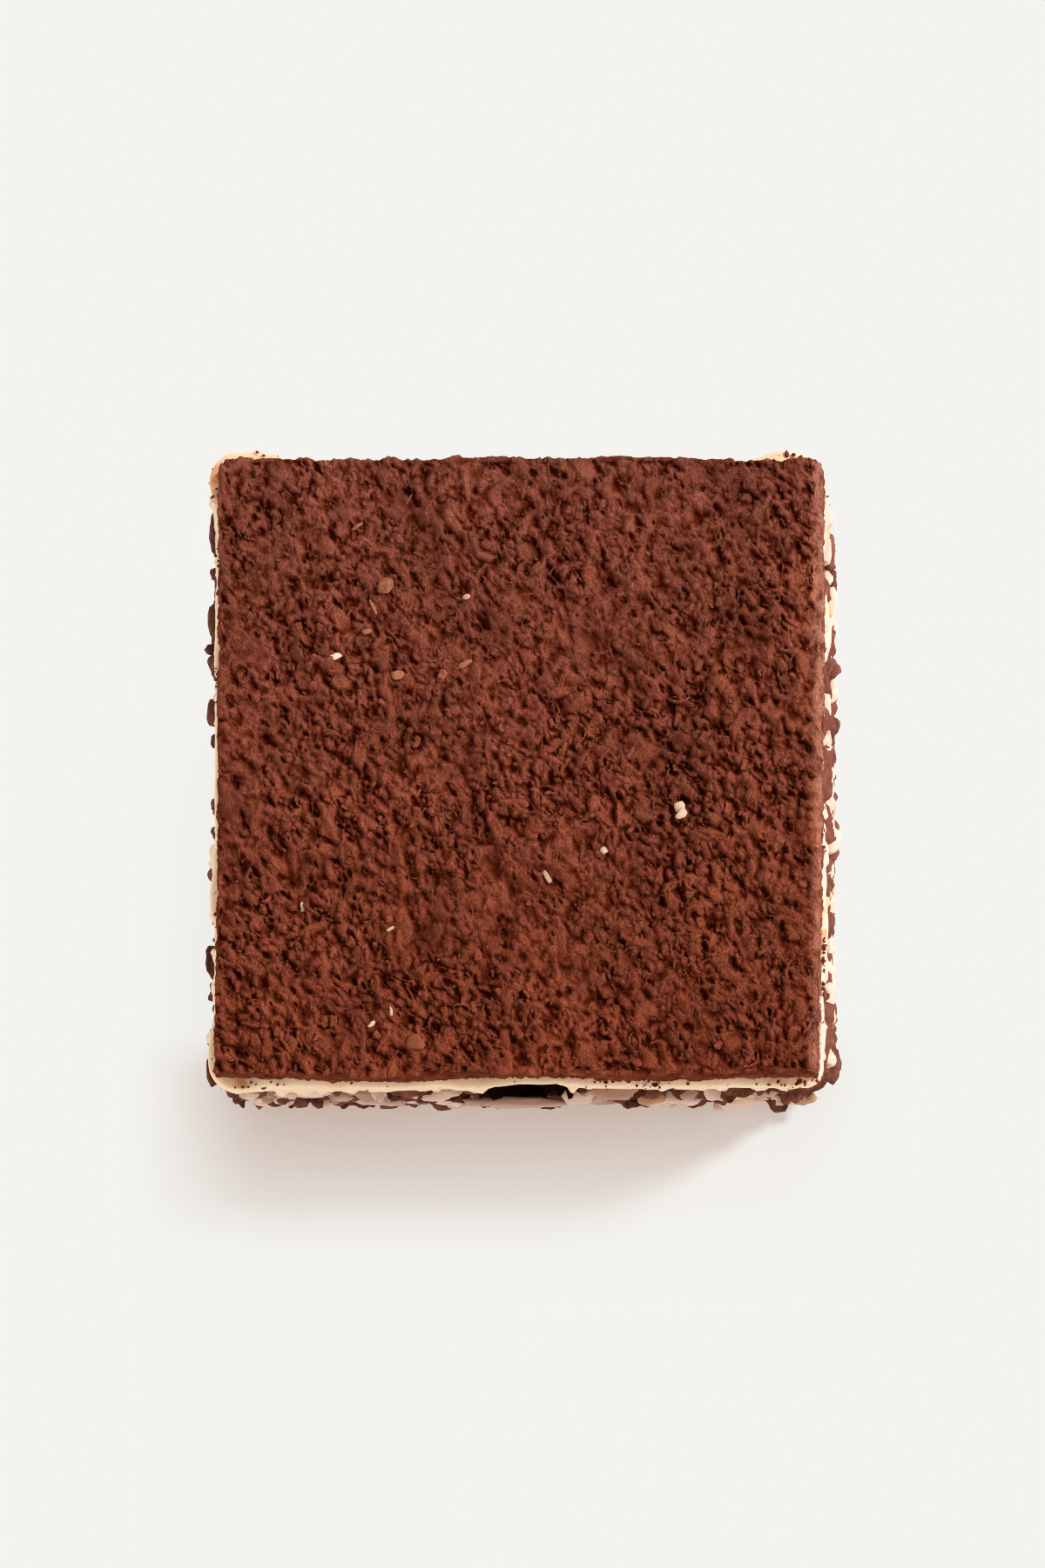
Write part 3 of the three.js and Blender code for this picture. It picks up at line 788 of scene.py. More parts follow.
class Crumb:
    """The crumb block's surface: where its points lie with all their relief."""

    def __init__(self):
        self.relief, self.crest, self.tint = crumb_rasters()

    def surface(self, points):
        """Places points of the box, with their crest, the draw of their shred, and their dust with painted
        light on the right.
        """
        place, outward = rounded(points)
        level = outward[:, :2] / np.maximum(np.linalg.norm(outward[:, :2], axis=1, keepdims=True), TINY)
        on_top = ramp(outward[:, 2], *TOP_RISE)
        pressed = ramp(place[:, 0], *PRESSED_BAND)
        loose = on_top * (1 - PRESSED_SHARE * pressed)
        side, side_crest, side_tint = side_relief(place)
        top = loose * sampled(self.relief, place)
        crest = loose * sampled(self.crest, place) + (1 - on_top) * side_crest
        side *= 1 - on_top
        side += RIGHT_SWELL * unit(outward[:, 0]) * ramp(place[:, 1], -HALF_DEPTH / 2, HALF_DEPTH / 2)
        wave = FRONT_WAVE * np.cos(2 * math.pi * (place[:, 0] - FRONT_WAVE_CREST) / FRONT_WAVE_LENGTH)
        side += wave * unit(-outward[:, 1])
        side += bulge(place, CRUMB_BULGES) * unit(outward[:, 1])
        side -= SIDE_TUCK * (points[:, 2] < CRUMB_HALF[2])
        spread = by_side(EDGE_SPREAD, level)
        spreads = np.column_stack([spread, spread, np.ones(len(spread))])
        moved = place + outward * (side[:, None] + top[:, None] * spreads)
        moved[:, 0] -= FRONT_SHIFT * ramp(-place[:, 1], 0, HALF_DEPTH) ** 2
        moved[:, 2] -= PRESSED_FALL * pressed**2 * on_top
        moved[:, 2] = np.maximum(moved[:, 2], -CRUMB_HALF[2]) + CRUMB_LEVEL - CRUMB_HALF[2]
        moved[:, 2] += seam_wave(moved, TOP_SEAM) * unit((CRUMB_LEVEL - moved[:, 2]) / TOP_HEIGHT)
        tint = on_top * sampled(self.tint, place) + (1 - on_top) * side_tint
        wall = unit(1 + (place[:, 2] - CRUMB_HALF[2]) / LIT_DUSTED_WALL)
        attributes = {
            # Painted shade: the cocoa darkens where this is low, in the pits, besides its own darker tone
            # there
            "relief": unit(0.5 + crest),
            # Painted light: the tint rises towards the back
            "tint": tint + BACK_LIGHT_TINT * place[:, 1] / HALF_DEPTH,
            # Dust and painted light: lighter on the right side and the pressed band
            "dust": np.maximum(PRESSED_DUST_AND_LIGHT * pressed * on_top, unit(outward[:, 0]) * wall),
        }
        return round_back_corners(moved), attributes

    def on_top(self, spots):
        """Points of the finished surface above spots given by x and y."""
        points = np.column_stack([spots, np.full(len(spots), CRUMB_HALF[2])])
        return self.surface(points)[0]


def top_lines():
    """Values of x and y along the two sides of the box's top, a cell apart."""
    counts = [round(side / CRUMB_CELL) for side in (SLICE_WIDTH, SLICE_DEPTH)]
    return [np.linspace(-reach, reach, count + 1) for reach, count in zip(CRUMB_HALF, counts)]


def top_grid(first, last):
    """Points and faces of the part of the box's top between two of its lines of x."""
    x, y = top_lines()
    x = x[first : last + 1]
    return plane(x, y, CRUMB_HALF[2]), grid_faces(len(y), len(x))


def side_grid():
    """Points and triangles of the box's four sides and its underside, coarser than the top."""
    x, y = top_lines()
    ring = [(a, y[0]) for a in x[:-1]] + [(x[-1], b) for b in y[:-1]]
    ring += [(a, y[-1]) for a in x[:0:-1]] + [(x[0], b) for b in y[:0:-1]]
    ring = np.array(ring[::SIDE_SKIP])
    levels = np.linspace(CRUMB_HALF[2], -CRUMB_HALF[2], SIDE_ROWS + 1)
    points = np.concatenate([np.column_stack([ring, np.full(len(ring), level)]) for level in levels])
    quads = grid_faces(SIDE_ROWS + 1, len(ring), wrap=True)[:, ::-1]
    foot = SIDE_ROWS * len(ring) + np.arange(len(ring))
    underside = fan(foot, len(points))[:, [1, 0, 2]]
    points = np.append(points, [[0, 0, -CRUMB_HALF[2]]], axis=0)
    return points, np.concatenate([split(quads), underside])


class Nodes:
    """A short way to add and join the nodes of a material or of the world."""

    def __init__(self, owner, kind="Material"):
        self.owner = owner
        owner.use_nodes = True
        self.tree = owner.node_tree
        self.tree.nodes.clear()
        self.output = self.add("Output" + kind)

    def add(self, kind, **inputs):
        """Adds a node. Inputs are values, or sockets to join."""
        node = self.tree.nodes.new("ShaderNode" + kind)
        for name, value in inputs.items():
            self.put(node.inputs[name.replace("_", " ")], value)
        return node

    def put(self, socket, value):
        """Gives a socket a value, or joins it to another socket."""
        if isinstance(value, bpy.types.NodeSocket):
            self.tree.links.new(value, socket)
        else:
            socket.default_value = value

    def mix(self, factor, first, second, blend="MIX"):
        """Blends two colours, each a socket or (red, green, blue)."""
        node = self.add("Mix")
        node.data_type = "RGBA"
        node.blend_type = blend
        self.put(node.inputs[0], factor)
        for index, shade in ((6, first), (7, second)):
            self.put(node.inputs[index], (*shade, 1.0) if isinstance(shade, tuple) else shade)
        return node.outputs[2]

    def math(self, operation, first, second):
        node = self.add("Math")
        node.operation = operation
        self.put(node.inputs[0], first)
        self.put(node.inputs[1], second)
        return node.outputs[0]

    def times(self, first, second):
        return self.math("MULTIPLY", first, second)

    def span(self, value, low, high, to_low=0.0, to_high=1.0, curve="SMOOTHSTEP"):
        """Turns values from low to high into values from to_low to to_high."""
        node = self.add("MapRange", Value=value, From_Min=low, From_Max=high, To_Min=to_low, To_Max=to_high)
        node.interpolation_type = curve
        return node.outputs[0]

    def place(self, kind="Object"):
        """Where a point lies."""
        return self.add("TexCoord").outputs[kind]

    def axes(self, vector):
        return self.add("SeparateXYZ", Vector=vector).outputs

    def noise(self, size, detail=2.0, roughness=0.5):
        """Noise from 0 to 1 with features of the given size."""
        scale = 1 / (size * MM)
        node = self.add("TexNoise", Vector=self.place(), Scale=scale, Detail=detail, Roughness=roughness)
        return node.outputs["Fac"]

    def grains(self, size):
        """Distance from the middle of the nearest of many grains, in grains of the given size."""
        return self.add("TexVoronoi", Vector=self.place(), Scale=1 / (size * MM)).outputs["Distance"]

    def attribute(self, name):
        node = self.add("Attribute")
        node.attribute_name = name
        return node.outputs["Fac"]

    def bump(self, height, depth, strength=1.0):
        return self.add("Bump", Height=height, Strength=strength, Distance=depth * MM).outputs["Normal"]

    def finish(self, shader):
        """Joins the shader to the output, and gives the finished material or world."""
        self.put(self.output.inputs["Surface"], shader.outputs[0])
        return self.owner

    def surface(self, body, normal, roughness, gloss, **soft):
        """Finishes a material of this colour. Soft holds inputs for light that passes under its surface."""
        looks = {"Base_Color": body, "Normal": normal, "Roughness": roughness, "Specular_IOR_Level": gloss}
        return self.finish(self.add("BsdfPrincipled", **looks, **soft))


def cocoa_material():
    """Dry cocoa: dark in the pits, partly its own tone and partly painted shade, lighter and dusty on the
    crests, painted lighter towards the back, with painted light on its dusty right side, and a fine grain.
    """
    nodes = Nodes(bpy.data.materials.new("cocoa"))
    # Painted shade in the pits, besides the cocoa's own darker tone there
    crest = nodes.span(nodes.attribute("relief"), 0.1, 0.8)
    back = nodes.axes(nodes.place())["Y"]
    # Painted light: the cocoa is painted lighter and paler towards the back
    lit_back = nodes.span(back, -HALF_DEPTH * MM, HALF_DEPTH * MM, 0.0, 0.24, "LINEAR")
    body = nodes.mix(crest, COCOA_PIT_TONE_AND_SHADE, nodes.mix(lit_back, COCOA_CREST, COCOA_BACK_LIGHT))
    # Cocoa dust and painted light: the right side and the pressed band are painted lighter
    dusty_and_lit = nodes.times(nodes.attribute("dust"), nodes.span(nodes.noise(1.2, 3.0), 0.25, 0.6))
    body = nodes.mix(dusty_and_lit, body, COCOA_DUST_AND_LIGHT)
    grain = nodes.span(nodes.noise(0.22, 3.0, 0.65), 0.3, 0.7, 0.7, 1.3)
    patch = nodes.span(nodes.noise(9.0), 0.3, 0.7, 0.92, 1.08)
    shred = nodes.span(nodes.attribute("tint"), 0.0, 1.0, 0.88, 1.12)
    body = nodes.mix(1.0, body, nodes.times(nodes.times(grain, patch), shred), "MULTIPLY")
    grainy = nodes.math("SUBTRACT", nodes.noise(0.2, 3.0, 0.75), nodes.grains(0.4))
    return nodes.surface(body, nodes.bump(grainy, 0.15), roughness=1.0, gloss=0.02)


def cream_material():
    """Soft pale yellow cream with a warmer tint in patches, stains, specks, and a paler painted light on some
    of its sides.
    """
    nodes = Nodes(bpy.data.materials.new("cream"))
    tint = nodes.attribute("tint")
    warm = nodes.span(nodes.noise(4.0, 4.0), 0.45, 0.8, 0.0, 0.7)
    speck = nodes.span(nodes.noise(0.7, 2.0, 0.6), 0.66, 0.72)
    body = nodes.mix(warm, CREAM, CREAM_WARM)
    # Painted light: paler on some sides
    body = nodes.mix(nodes.span(tint, 0.0, -0.6), body, CREAM_SIDE_LIGHT_TONE)
    body = nodes.mix(nodes.span(tint, 0.15, 0.9, 0.0, 0.85), body, CREAM_STAIN)
    body = nodes.mix(nodes.times(speck, 0.5), body, CREAM_SPECK)
    normal = nodes.bump(nodes.noise(0.8, 3.0), 0.12, 0.6)
    soft = {"Subsurface_Weight": 0.35, "Subsurface_Radius": (1.0, 0.6, 0.3), "Subsurface_Scale": 1.2 * MM}
    return nodes.surface(body, normal, roughness=0.5, gloss=0.3, **soft)


def chocolate_material(name, dark, light, gloss):
    """Chocolate: two browns in patches, more or less glossy, and painted almost black as shade in a hollow.
    """
    nodes = Nodes(bpy.data.materials.new(name))
    tint = nodes.attribute("tint")
    patch = nodes.span(nodes.noise(0.9, 3.0, 0.6), 0.35, 0.7)
    body = nodes.mix(nodes.times(nodes.math("ADD", tint, patch), 0.5), dark, light)
    # Painted shade: almost black where the tint falls below 0
    body = nodes.mix(nodes.span(tint, -0.2, -1.0), body, HOLLOW_SHADE)
    normal = nodes.bump(nodes.noise(0.5, 3.0, 0.6), 0.12, 0.8)
    return nodes.surface(body, normal, roughness=0.6, gloss=gloss)


def flake_material(name, pale, stain, stained):
    """A pale flake or nut with brown stains on a share of it."""
    nodes = Nodes(bpy.data.materials.new(name))
    tint = nodes.attribute("tint")
    patch = nodes.span(nodes.noise(1.1, 3.0, 0.6), 0.72 - 0.3 * stained, 0.85 - 0.3 * stained)
    coated = nodes.span(tint, 0.0, 0.45, 0.75, 0.0)
    body = nodes.mix(nodes.math("MAXIMUM", nodes.times(patch, 0.8), coated), pale, stain)
    body = nodes.mix(1.0, body, nodes.span(tint, 0.0, 1.0, 0.9, 1.06), "MULTIPLY")
    normal = nodes.bump(nodes.noise(0.4, 3.0, 0.6), 0.08, 0.7)
    soft = {"Subsurface_Weight": 0.15, "Subsurface_Radius": (1.0, 0.7, 0.5), "Subsurface_Scale": 0.6 * MM}
    return nodes.surface(body, normal, roughness=0.6, gloss=0.3, **soft)


def fleck_material():
    """Tan to cream flecks, by how pale each one is."""
    nodes = Nodes(bpy.data.materials.new("fleck"))
    pale = nodes.attribute("pale")
    tan = nodes.mix(nodes.span(pale, 0.1, 0.45), FLECK_BROWN, FLECK_TAN)
    body = nodes.mix(nodes.span(pale, 0.4, 1.0), tan, FLECK_PALE)
    dusted = nodes.times(nodes.span(nodes.noise(0.4, 3.0, 0.7), 0.42, 0.6), nodes.span(pale, 0.7, 0.1))
    body = nodes.mix(dusted, body, FLECK_DUST)
    return nodes.surface(body, nodes.bump(nodes.noise(0.3), 0.06), roughness=0.8, gloss=0.1)


def ball(detail):
    """Vertices and triangles of a ball of radius 1."""
    form = bmesh.new()
    bmesh.ops.create_icosphere(form, subdivisions=detail, radius=1.0)
    vertices = np.array([v.co for v in form.verts])
    faces = np.array([[v.index for v in f.verts] for f in form.faces])
    form.free()
    return vertices, faces


def lumps(name, places, sizes, angles, material, seed, detail, rough, block=1.0, bend=0.0, coating=0.0):
    """Many rough lumps in one mesh, none of them below the slice's underside.

    Sizes are half lengths; block under 1 makes them squarer, bend curls them, and coating makes them paler.
    """
    rng = np.random.default_rng(seed)
    vertices, faces = ball(detail)
    count = len(places)
    shape = np.sign(vertices) * np.abs(vertices) ** block
    sample = vertices[None] + rng.uniform(0, LUMP_SPREAD, (count, 1, 3))
    swell = 1 + rough * fractal(sample.reshape(-1, 3), *LUMP_NOISE, seed).reshape(count, -1, 1)
    many = shape[None] * swell * sizes[:, None, :]
    many[:, :, 2] += rng.normal(0, bend, (count, 1)) * sizes[:, :1] * shape[None, :, 0] ** 2
    turns = np.array([Euler(row).to_matrix() for row in angles])
    many = np.einsum("nij,nvj->nvi", turns, many) + places[:, None, :]
    many[:, :, 2] = np.maximum(many[:, :, 2], 0)
    corners = faces[None] + (np.arange(count) * len(vertices))[:, None, None]
    draw = np.repeat(rng.uniform(0, 1, count), len(vertices))
    coating = np.repeat(np.broadcast_to(coating, count), len(vertices))
    attributes = {"tint": draw + coating, "relief": within(LUMP_RELIEF, draw)}
    return new_mesh(name, many.reshape(-1, 3), corners.reshape(-1, 3), material, True, attributes)


def build_crumb(crumb, cocoa):
    """The crumb block: its top in strips side by side, and its four sides."""
    ends = np.linspace(0, len(top_lines()[0]) - 1, len(TOP_PARTS) + 1).round().astype(int)
    grids = {f"crumb_top_{part}": top_grid(*ends[i : i + 2]) for i, part in enumerate(TOP_PARTS)}
    grids["crumb_sides"] = side_grid()
    pieces = []
    for name, (points, faces) in grids.items():
        place, attributes = crumb.surface(points)
        pieces.append(new_mesh(name, place, faces, cocoa, False, attributes))
    return pieces


def build_strands(crumb, cocoa):
    """Short bent strands and crumbs lying on the top, each a tube that tapers to a point at both ends."""
    rng = np.random.default_rng(STRAND_SEED)
    count = STRAND_COUNT
    spots = rng.uniform(-1, 1, (count, 2)) * [HALF_WIDTH - STRAND_MARGIN, HALF_DEPTH - STRAND_MARGIN]
    middle = crumb.on_top(spots)
    radius = within(STRAND_RADIUS, rng.random(count) ** 3)
    half_length = radius * rng.uniform(*STRAND_LENGTH, count) + STRAND_EXTRA * rng.random(count) ** 2
    turn = rng.normal(SHRED_TURN, STRAND_TURN_SPREAD, count)
    lean = rng.normal(0, STRAND_LEAN, count)
    bend = rng.normal(0, STRAND_BEND, count)
    middle[:, 2] += STRAND_LIFT * radius
    angles = np.arange(STRAND_SIDES) / STRAND_SIDES * 2 * math.pi
    rings = [(station, angles, 1.0) for station in np.linspace(-STRAND_BLUNT, STRAND_BLUNT, STRAND_RINGS)]
    vertices = []
    for station, steps, width in [(-1.0, angles[:1], 0.0), *rings, (1.0, angles[:1], 0.0)]:
        along = station * half_length
        thick = radius * width * rng.uniform(*STRAND_THICKNESS, count)
        for angle in steps:
            across = bend * along**2 + thick * math.cos(angle)
            up = along * lean + thick * math.sin(angle) * rng.uniform(*STRAND_ROUNDNESS, count)
            x = along * np.cos(turn) - across * np.sin(turn)
            y = along * np.sin(turn) + across * np.cos(turn)
            vertices.append(middle + np.stack([x, y, up], axis=1))
    each = len(vertices)
    ring = np.arange(STRAND_SIDES)
    tube = split(1 + grid_faces(STRAND_RINGS, STRAND_SIDES, wrap=True))
    start = fan(1 + ring, 0)[:, [1, 0, 2]]
    end = fan(each - 1 - STRAND_SIDES + ring, each - 1)
    faces = np.concatenate([start, tube, end])
    points = np.stack(vertices, axis=1).reshape(-1, 3)
    corners = (faces[None] + (np.arange(count) * each)[:, None, None]).reshape(-1, 3)
    draw = np.repeat(rng.random(count), each)
    attributes = {"relief": within(STRAND_RELIEF, draw), "tint": draw}
    return new_mesh("strands", points, corners, cocoa, False, attributes)


def build_flecks(crumb):
    """The pale flecks, each resting on the highest of three places under it."""
    x, y, length, width, turn, paleness = np.array(FLECKS).T
    turn = np.radians(turn)
    place = crumb.on_top(np.column_stack([x, y]))
    for end in FLECK_ENDS:
        ends = np.column_stack([x + end * length * np.cos(turn), y + end * length * np.sin(turn)])
        place[:, 2] = np.maximum(place[:, 2], crumb.on_top(ends)[:, 2])
    place[:, 2] += FLECK_LIFT * width + FLECK_LIFT * paleness
    sizes = np.column_stack([length / 2, width / 2, FLECK_THICKNESS * width])
    angles = np.column_stack([np.zeros_like(x), np.zeros_like(x), turn])
    material = fleck_material()
    flecks = lumps("pale_flecks", place, sizes, angles, material, FLECK_SEED, detail=2, rough=0.4, block=0.85)
    shades = np.repeat(paleness, len(flecks.data.vertices) // len(FLECKS))
    flecks.data.attributes.new("pale", "FLOAT", "POINT").data.foreach_set("value", shades.astype(np.float32))
    return flecks


def outline(radius, spacing):
    """Points round the slice's plan with round corners, at level 0, and their outward directions."""
    points, outward = [], []
    inner = np.array([HALF_WIDTH - radius, HALF_DEPTH - radius, 0])
    corners = [inner * signs for signs in ((1, 1, 0), (-1, 1, 0), (-1, -1, 0), (1, -1, 0))]
    arc_steps = max(4, round(radius * math.pi / 2 / spacing))
    for quarter, corner in enumerate(corners):
        angles = (quarter + np.arange(arc_steps) / arc_steps) * math.pi / 2
        directions = np.stack([np.cos(angles), np.sin(angles), np.zeros(arc_steps)], axis=1)
        points.append(corner + radius * directions)
        outward.append(directions)
        end = (quarter + 1) * math.pi / 2
        direction = np.array([math.cos(end), math.sin(end), 0])
        start = corner + radius * direction
        stop = corners[(quarter + 1) % 4] + radius * direction
        steps = max(2, round(np.linalg.norm(stop - start) / spacing))
        points.append(start + np.arange(steps)[:, None] / steps * (stop - start))
        outward.append(np.repeat(direction[None], steps, axis=0))
    return np.concatenate(points), np.concatenate(outward)


def side_profile(low, high, top_edge, foot_edge):
    """A profile that runs in along the top, over a round edge, down the side and in along the bottom."""
    inset = LAYER_INSET
    rows = [(-inset, high, 0.0), ((-inset - top_edge) / 2, high, 0.0), (-top_edge, high, 0.0)]
    arc = np.arange(1, EDGE_STEPS + 1) / EDGE_STEPS * math.pi / 2
    rows += [(top_edge * (math.sin(a) - 1), high + top_edge * (math.cos(a) - 1), math.sin(a)) for a in arc]
    run = high - low - top_edge - foot_edge
    steps = max(3, round(run / LAYER_STEP))
    rows += [(0.0, high - top_edge - run * i / steps, 1.0) for i in range(1, steps)]
    arc = np.arange(FOOT_STEPS + 1) / FOOT_STEPS * math.pi / 2
    rows += [(foot_edge * (math.cos(a) - 1), low - foot_edge * (math.sin(a) - 1), math.cos(a)) for a in arc]
    return rows + [((-inset - foot_edge) / 2, low, 0.0), (-inset, low, 0.0)]


def ring_mesh(name, radius, profile, spacing, shape, lift, material):
    """A closed layer: a profile of (offset, height, share) swept round an outline.

    Shape gives how far each point moves outwards, before its share is taken, and a tint. Lift gives how far
    it moves up.
    """
    points, outward = outline(radius, spacing)
    count = len(points)
    offsets, levels, shares = np.repeat(np.array(profile), count, axis=0).T
    direction = np.tile(outward, (len(profile), 1))
    place = np.tile(points, (len(profile), 1)) + direction * offsets[:, None]
    place[:, 2] = levels
    out, tint = shape(place, direction)
    moved = place + direction * (out * shares)[:, None]
    moved[:, 2] += lift(place)
    middles = [(0.0, 0.0, profile[0][1]), (0.0, 0.0, profile[-1][1])]
    sides = split(grid_faces(len(profile), count, wrap=True)[:, ::-1])
    cap = fan(np.arange(count), len(moved))
    foot = fan(len(moved) - count + np.arange(count), len(moved) + 1)[:, [1, 0, 2]]
    triangles = np.concatenate([sides, cap, foot])
    attributes = {"tint": np.append(tint, [MIDDLE_TINT, MIDDLE_TINT])}
    return new_mesh(name, np.concatenate([moved, middles]), triangles, material, True, attributes)


def along_gap(points, outward):
    """Squared distance of a front point from the hollow's middle, in half lengths. Large on other sides."""
    ragged = points[:, 0] + heights(points, GAP_RAGGED)
    return ((ragged - GAP_ALONG) / GAP_HALF_LENGTH) ** 2 + FAR * (outward[:, 1] > -GAP_FACING)


def cream_stain(points):
    """How stained the cream is, from 0 to 1."""
    patches = unit(STAIN_MEAN + heights(points, STAIN_PATCHES))
    below = STAIN_FLATNESS * (points[:, 2] - TOP_LEVEL) ** 2
    stain = np.zeros(len(points))
    for x, y, reach in CREAM_STAINS:
        away = (points[:, 0] - x) ** 2 + (points[:, 1] - y) ** 2 + below
        stain = np.maximum(stain, np.exp(-away / reach**2) * patches)
    return stain


def cream_shape(points, outward):
    """How far the cream's side moves outwards, and how stained it is from 0 to 1, or below 0 how much paler
    painted light it takes.
    """
    rise = ramp(points[:, 2], CREAM_LEVEL, TOP_LEVEL)
    out = by_side(CREAM_PROUD, outward) + bulge(points, CREAM_BULGES) + CREAM_SWELL * np.sin(math.pi * rise)
    out += heights(points * CREAM_WAVE_SCALE, CREAM_WAVE)
    out += heights(points * CREAM_STREAK_SCALE, CREAM_STREAKS)
    foot = unit(1 - (points[:, 2] - CREAM_LEVEL) / CREAM_RAGGED_HEIGHT)
    out += foot * (heights(points * CREAM_RAGGED_SCALE, CREAM_RAGGED) - CREAM_RAGGED_MEAN)
    out -= holes(warped(points, *CREAM_WARP), *CREAM_HOLES)
    leaning = ramp(points[:, 0], *CREAM_LEAN_RUN) * unit(-outward[:, 1])
    gap = unit(GAP_EDGE * (1 - along_gap(points, outward)))
    out -= (1 - rise) * (GAP_IN_CREAM * gap + CREAM_LEAN * leaning)
    stain = cream_stain(points)
    return out, np.where(stain > STAIN_LEAST, stain, -by_side(CREAM_SIDE_LIGHT, outward))


def cream_lift(points):
    """How far the cream's points move up or down to meet the wavy seams below and above."""
    rise = (points[:, 2] - CREAM_LEVEL) / CREAM_HEIGHT
    return (1 - rise) * seam_wave(points, CREAM_SEAM) + rise * seam_wave(points, TOP_SEAM)


def build_cream(cream):
    profile = side_profile(CREAM_LEVEL, TOP_LEVEL, CREAM_EDGE, CREAM_EDGE)
    return ring_mesh("cream", CREAM_CORNER, profile, CREAM_SPACING, cream_shape, cream_lift, cream)


def build_cream_specks(cocoa):
    """Cocoa crumbs that have fallen on the cream, most of them close under the crumb's edge."""
    rng = np.random.default_rng(SPECK_SEED)
    count = SPECK_COUNT
    points, outward = outline(CREAM_CORNER, SPECK_SPACING)
    weight = np.clip(SPECK_MEAN + heights(points, SPECK_CLUSTERS), SPECK_LEAST, 1) ** 2
    chosen = rng.choice(len(points), count, p=weight / weight.sum())
    spots = points[chosen] + [0, 0, TOP_LEVEL - CREAM_EDGE]
    away = outward[chosen]
    ledge, _ = cream_shape(spots, away)
    on_ledge = rng.random(count) < LEDGE_SHARE
    fallen = TOP_LEVEL - CREAM_EDGE - SPECK_FALL * rng.random(count) ** 2
    spots[:, 2] = np.where(on_ledge, TOP_LEVEL, fallen)
    out, _ = cream_shape(spots, away)
    out = np.where(on_ledge, SPECK_INSET + np.maximum(ledge, SPECK_INSET) * rng.random(count) ** 2, out)
    sizes = within(SPECK_SIZE, rng.random(count) ** 2)[:, None] * rng.uniform(*SPECK_STRETCH, (count, 3))
    angles = rng.uniform(-SPECK_TURN, SPECK_TURN, (count, 3))
    for i, (x, y, size) in enumerate(LEDGE_CRUMBS):
        nearest = np.argmin((points[:, 0] - x) ** 2 + (points[:, 1] - y) ** 2)
        spots[i] = points[nearest] + [0, 0, TOP_LEVEL]
        away[i] = outward[nearest]
        sizes[i] = size * LEDGE_CRUMB_STRETCH
    crumbs = slice(len(LEDGE_CRUMBS))
    ledge, _ = cream_shape(spots[crumbs] - [0, 0, CREAM_EDGE], away[crumbs])
    out[crumbs] = LEDGE_CRUMB_PLACE * ledge
    spots[:, 2] += cream_lift(spots)
    places = spots + away * out[:, None]
    return lumps("cream_specks", places, sizes, angles, cocoa, SPECK_FORM_SEED, detail=1, rough=0.3)


def base_shape(points, outward):
    """How far the base's side moves outwards, and its tint from 0 to 1, or below 0 where shade is painted
    round the hollow.
    """
    ragged = warped(points, *BASE_WARP)
    crags = domes(ragged, *BASE_CRAGS)[0] + domes(ragged, *BASE_KNOBS)[0]
    out = by_side(BASE_PROUD, outward) - BASE_MEAN + heights(points, BASE_SWELL) + crags
    out += heights(points, BASE_GRAIN) + bulge(points, BASE_BULGES)
    away = ((ragged[:, 2] - GAP_LEVEL) / GAP_HALF_HEIGHT) ** 2 + along_gap(points, outward)
    hollow = unit(GAP_EDGE * (1 - away))
    shaded = unit(GAP_SHADE_EDGE * (GAP_SHADE - away))
    coated = FRONT_COATING * unit(-outward[:, 1]) * ramp(points[:, 0], *FRONT_COATING_RUN)
    coated += by_side(BASE_COATING, outward)
    # Painted shade: the tint falls below 0 in and round the hollow
    return out - GAP_DEPTH * hollow, unit(crags) + coated + GAP_SHADE_TINT * shaded


def base_lift(points):
    """How far the base's points move up or down to meet the wavy seam above."""
    return seam_wave(points, CREAM_SEAM) * (points[:, 2] / BASE_HEIGHT) ** 2


def build_base(chocolate):
    profile = side_profile(0.0, BASE_HEIGHT, BASE_TOP_EDGE, BASE_FOOT_EDGE)
    return ring_mesh("base", BASE_CORNER, profile, BASE_SPACING, base_shape, base_lift, chocolate)


def over_gap(side, along, level, reach):
    """Whether a lump of a side lies within reach of the hollow."""
    return side == "front" and abs(along - GAP_ALONG) < GAP_HALF_LENGTH + reach and level > GAP_FOOT


def side_lumps(kind, per_side, lengths, rng):
    """Places, half sizes, angles and coating of a kind's lumps: large ones, and small ones drawn by side."""
    rows = []
    for quarter, side in enumerate(SIDES):
        face, run = (HALF_DEPTH, HALF_WIDTH) if quarter % 2 == 0 else (HALF_WIDTH, HALF_DEPTH)
        turn = quarter * math.pi / 2
        drawn = [(*lump, rng.normal(0, LARGE_LEAN)) for lump in LARGE_LUMPS[kind].get(side, ())]
        for _ in range(per_side):
            length = within(lengths, rng.random() ** SMALLNESS)
            thickness = min(length * rng.uniform(*LUMP_FLATNESS), LUMP_THICKEST)
            level = rng.uniform(LUMP_FOOT + thickness / 2, BASE_HEIGHT - LUMP_HEAD - thickness / 2)
            along = rng.uniform(-run + LUMP_MARGIN, run - LUMP_MARGIN)
            reach = rng.uniform(*LUMP_REACH[side])
            past_end = side == "right" and along > RIGHT_LUMPS_END
            if not past_end and not over_gap(side, along, level, length / 2):
                drawn.append((along, level, length, thickness, reach, rng.normal(0, SMALL_LEAN)))
        for along, level, length, thickness, reach, lean in drawn:
            root = -GAP_LUMP_STAND if over_gap(side, along, level, 0) else LUMP_ROOT
            depth = (reach + root) / 2
            spot = Matrix.Rotation(turn, 3, "Z") @ Vector((along, -(face + reach - depth), level))
            rows.append((spot, (length / 2, depth, thickness / 2), (0.0, lean, turn), BASE_COATING[side]))
    return [np.array(column) for column in zip(*rows)]


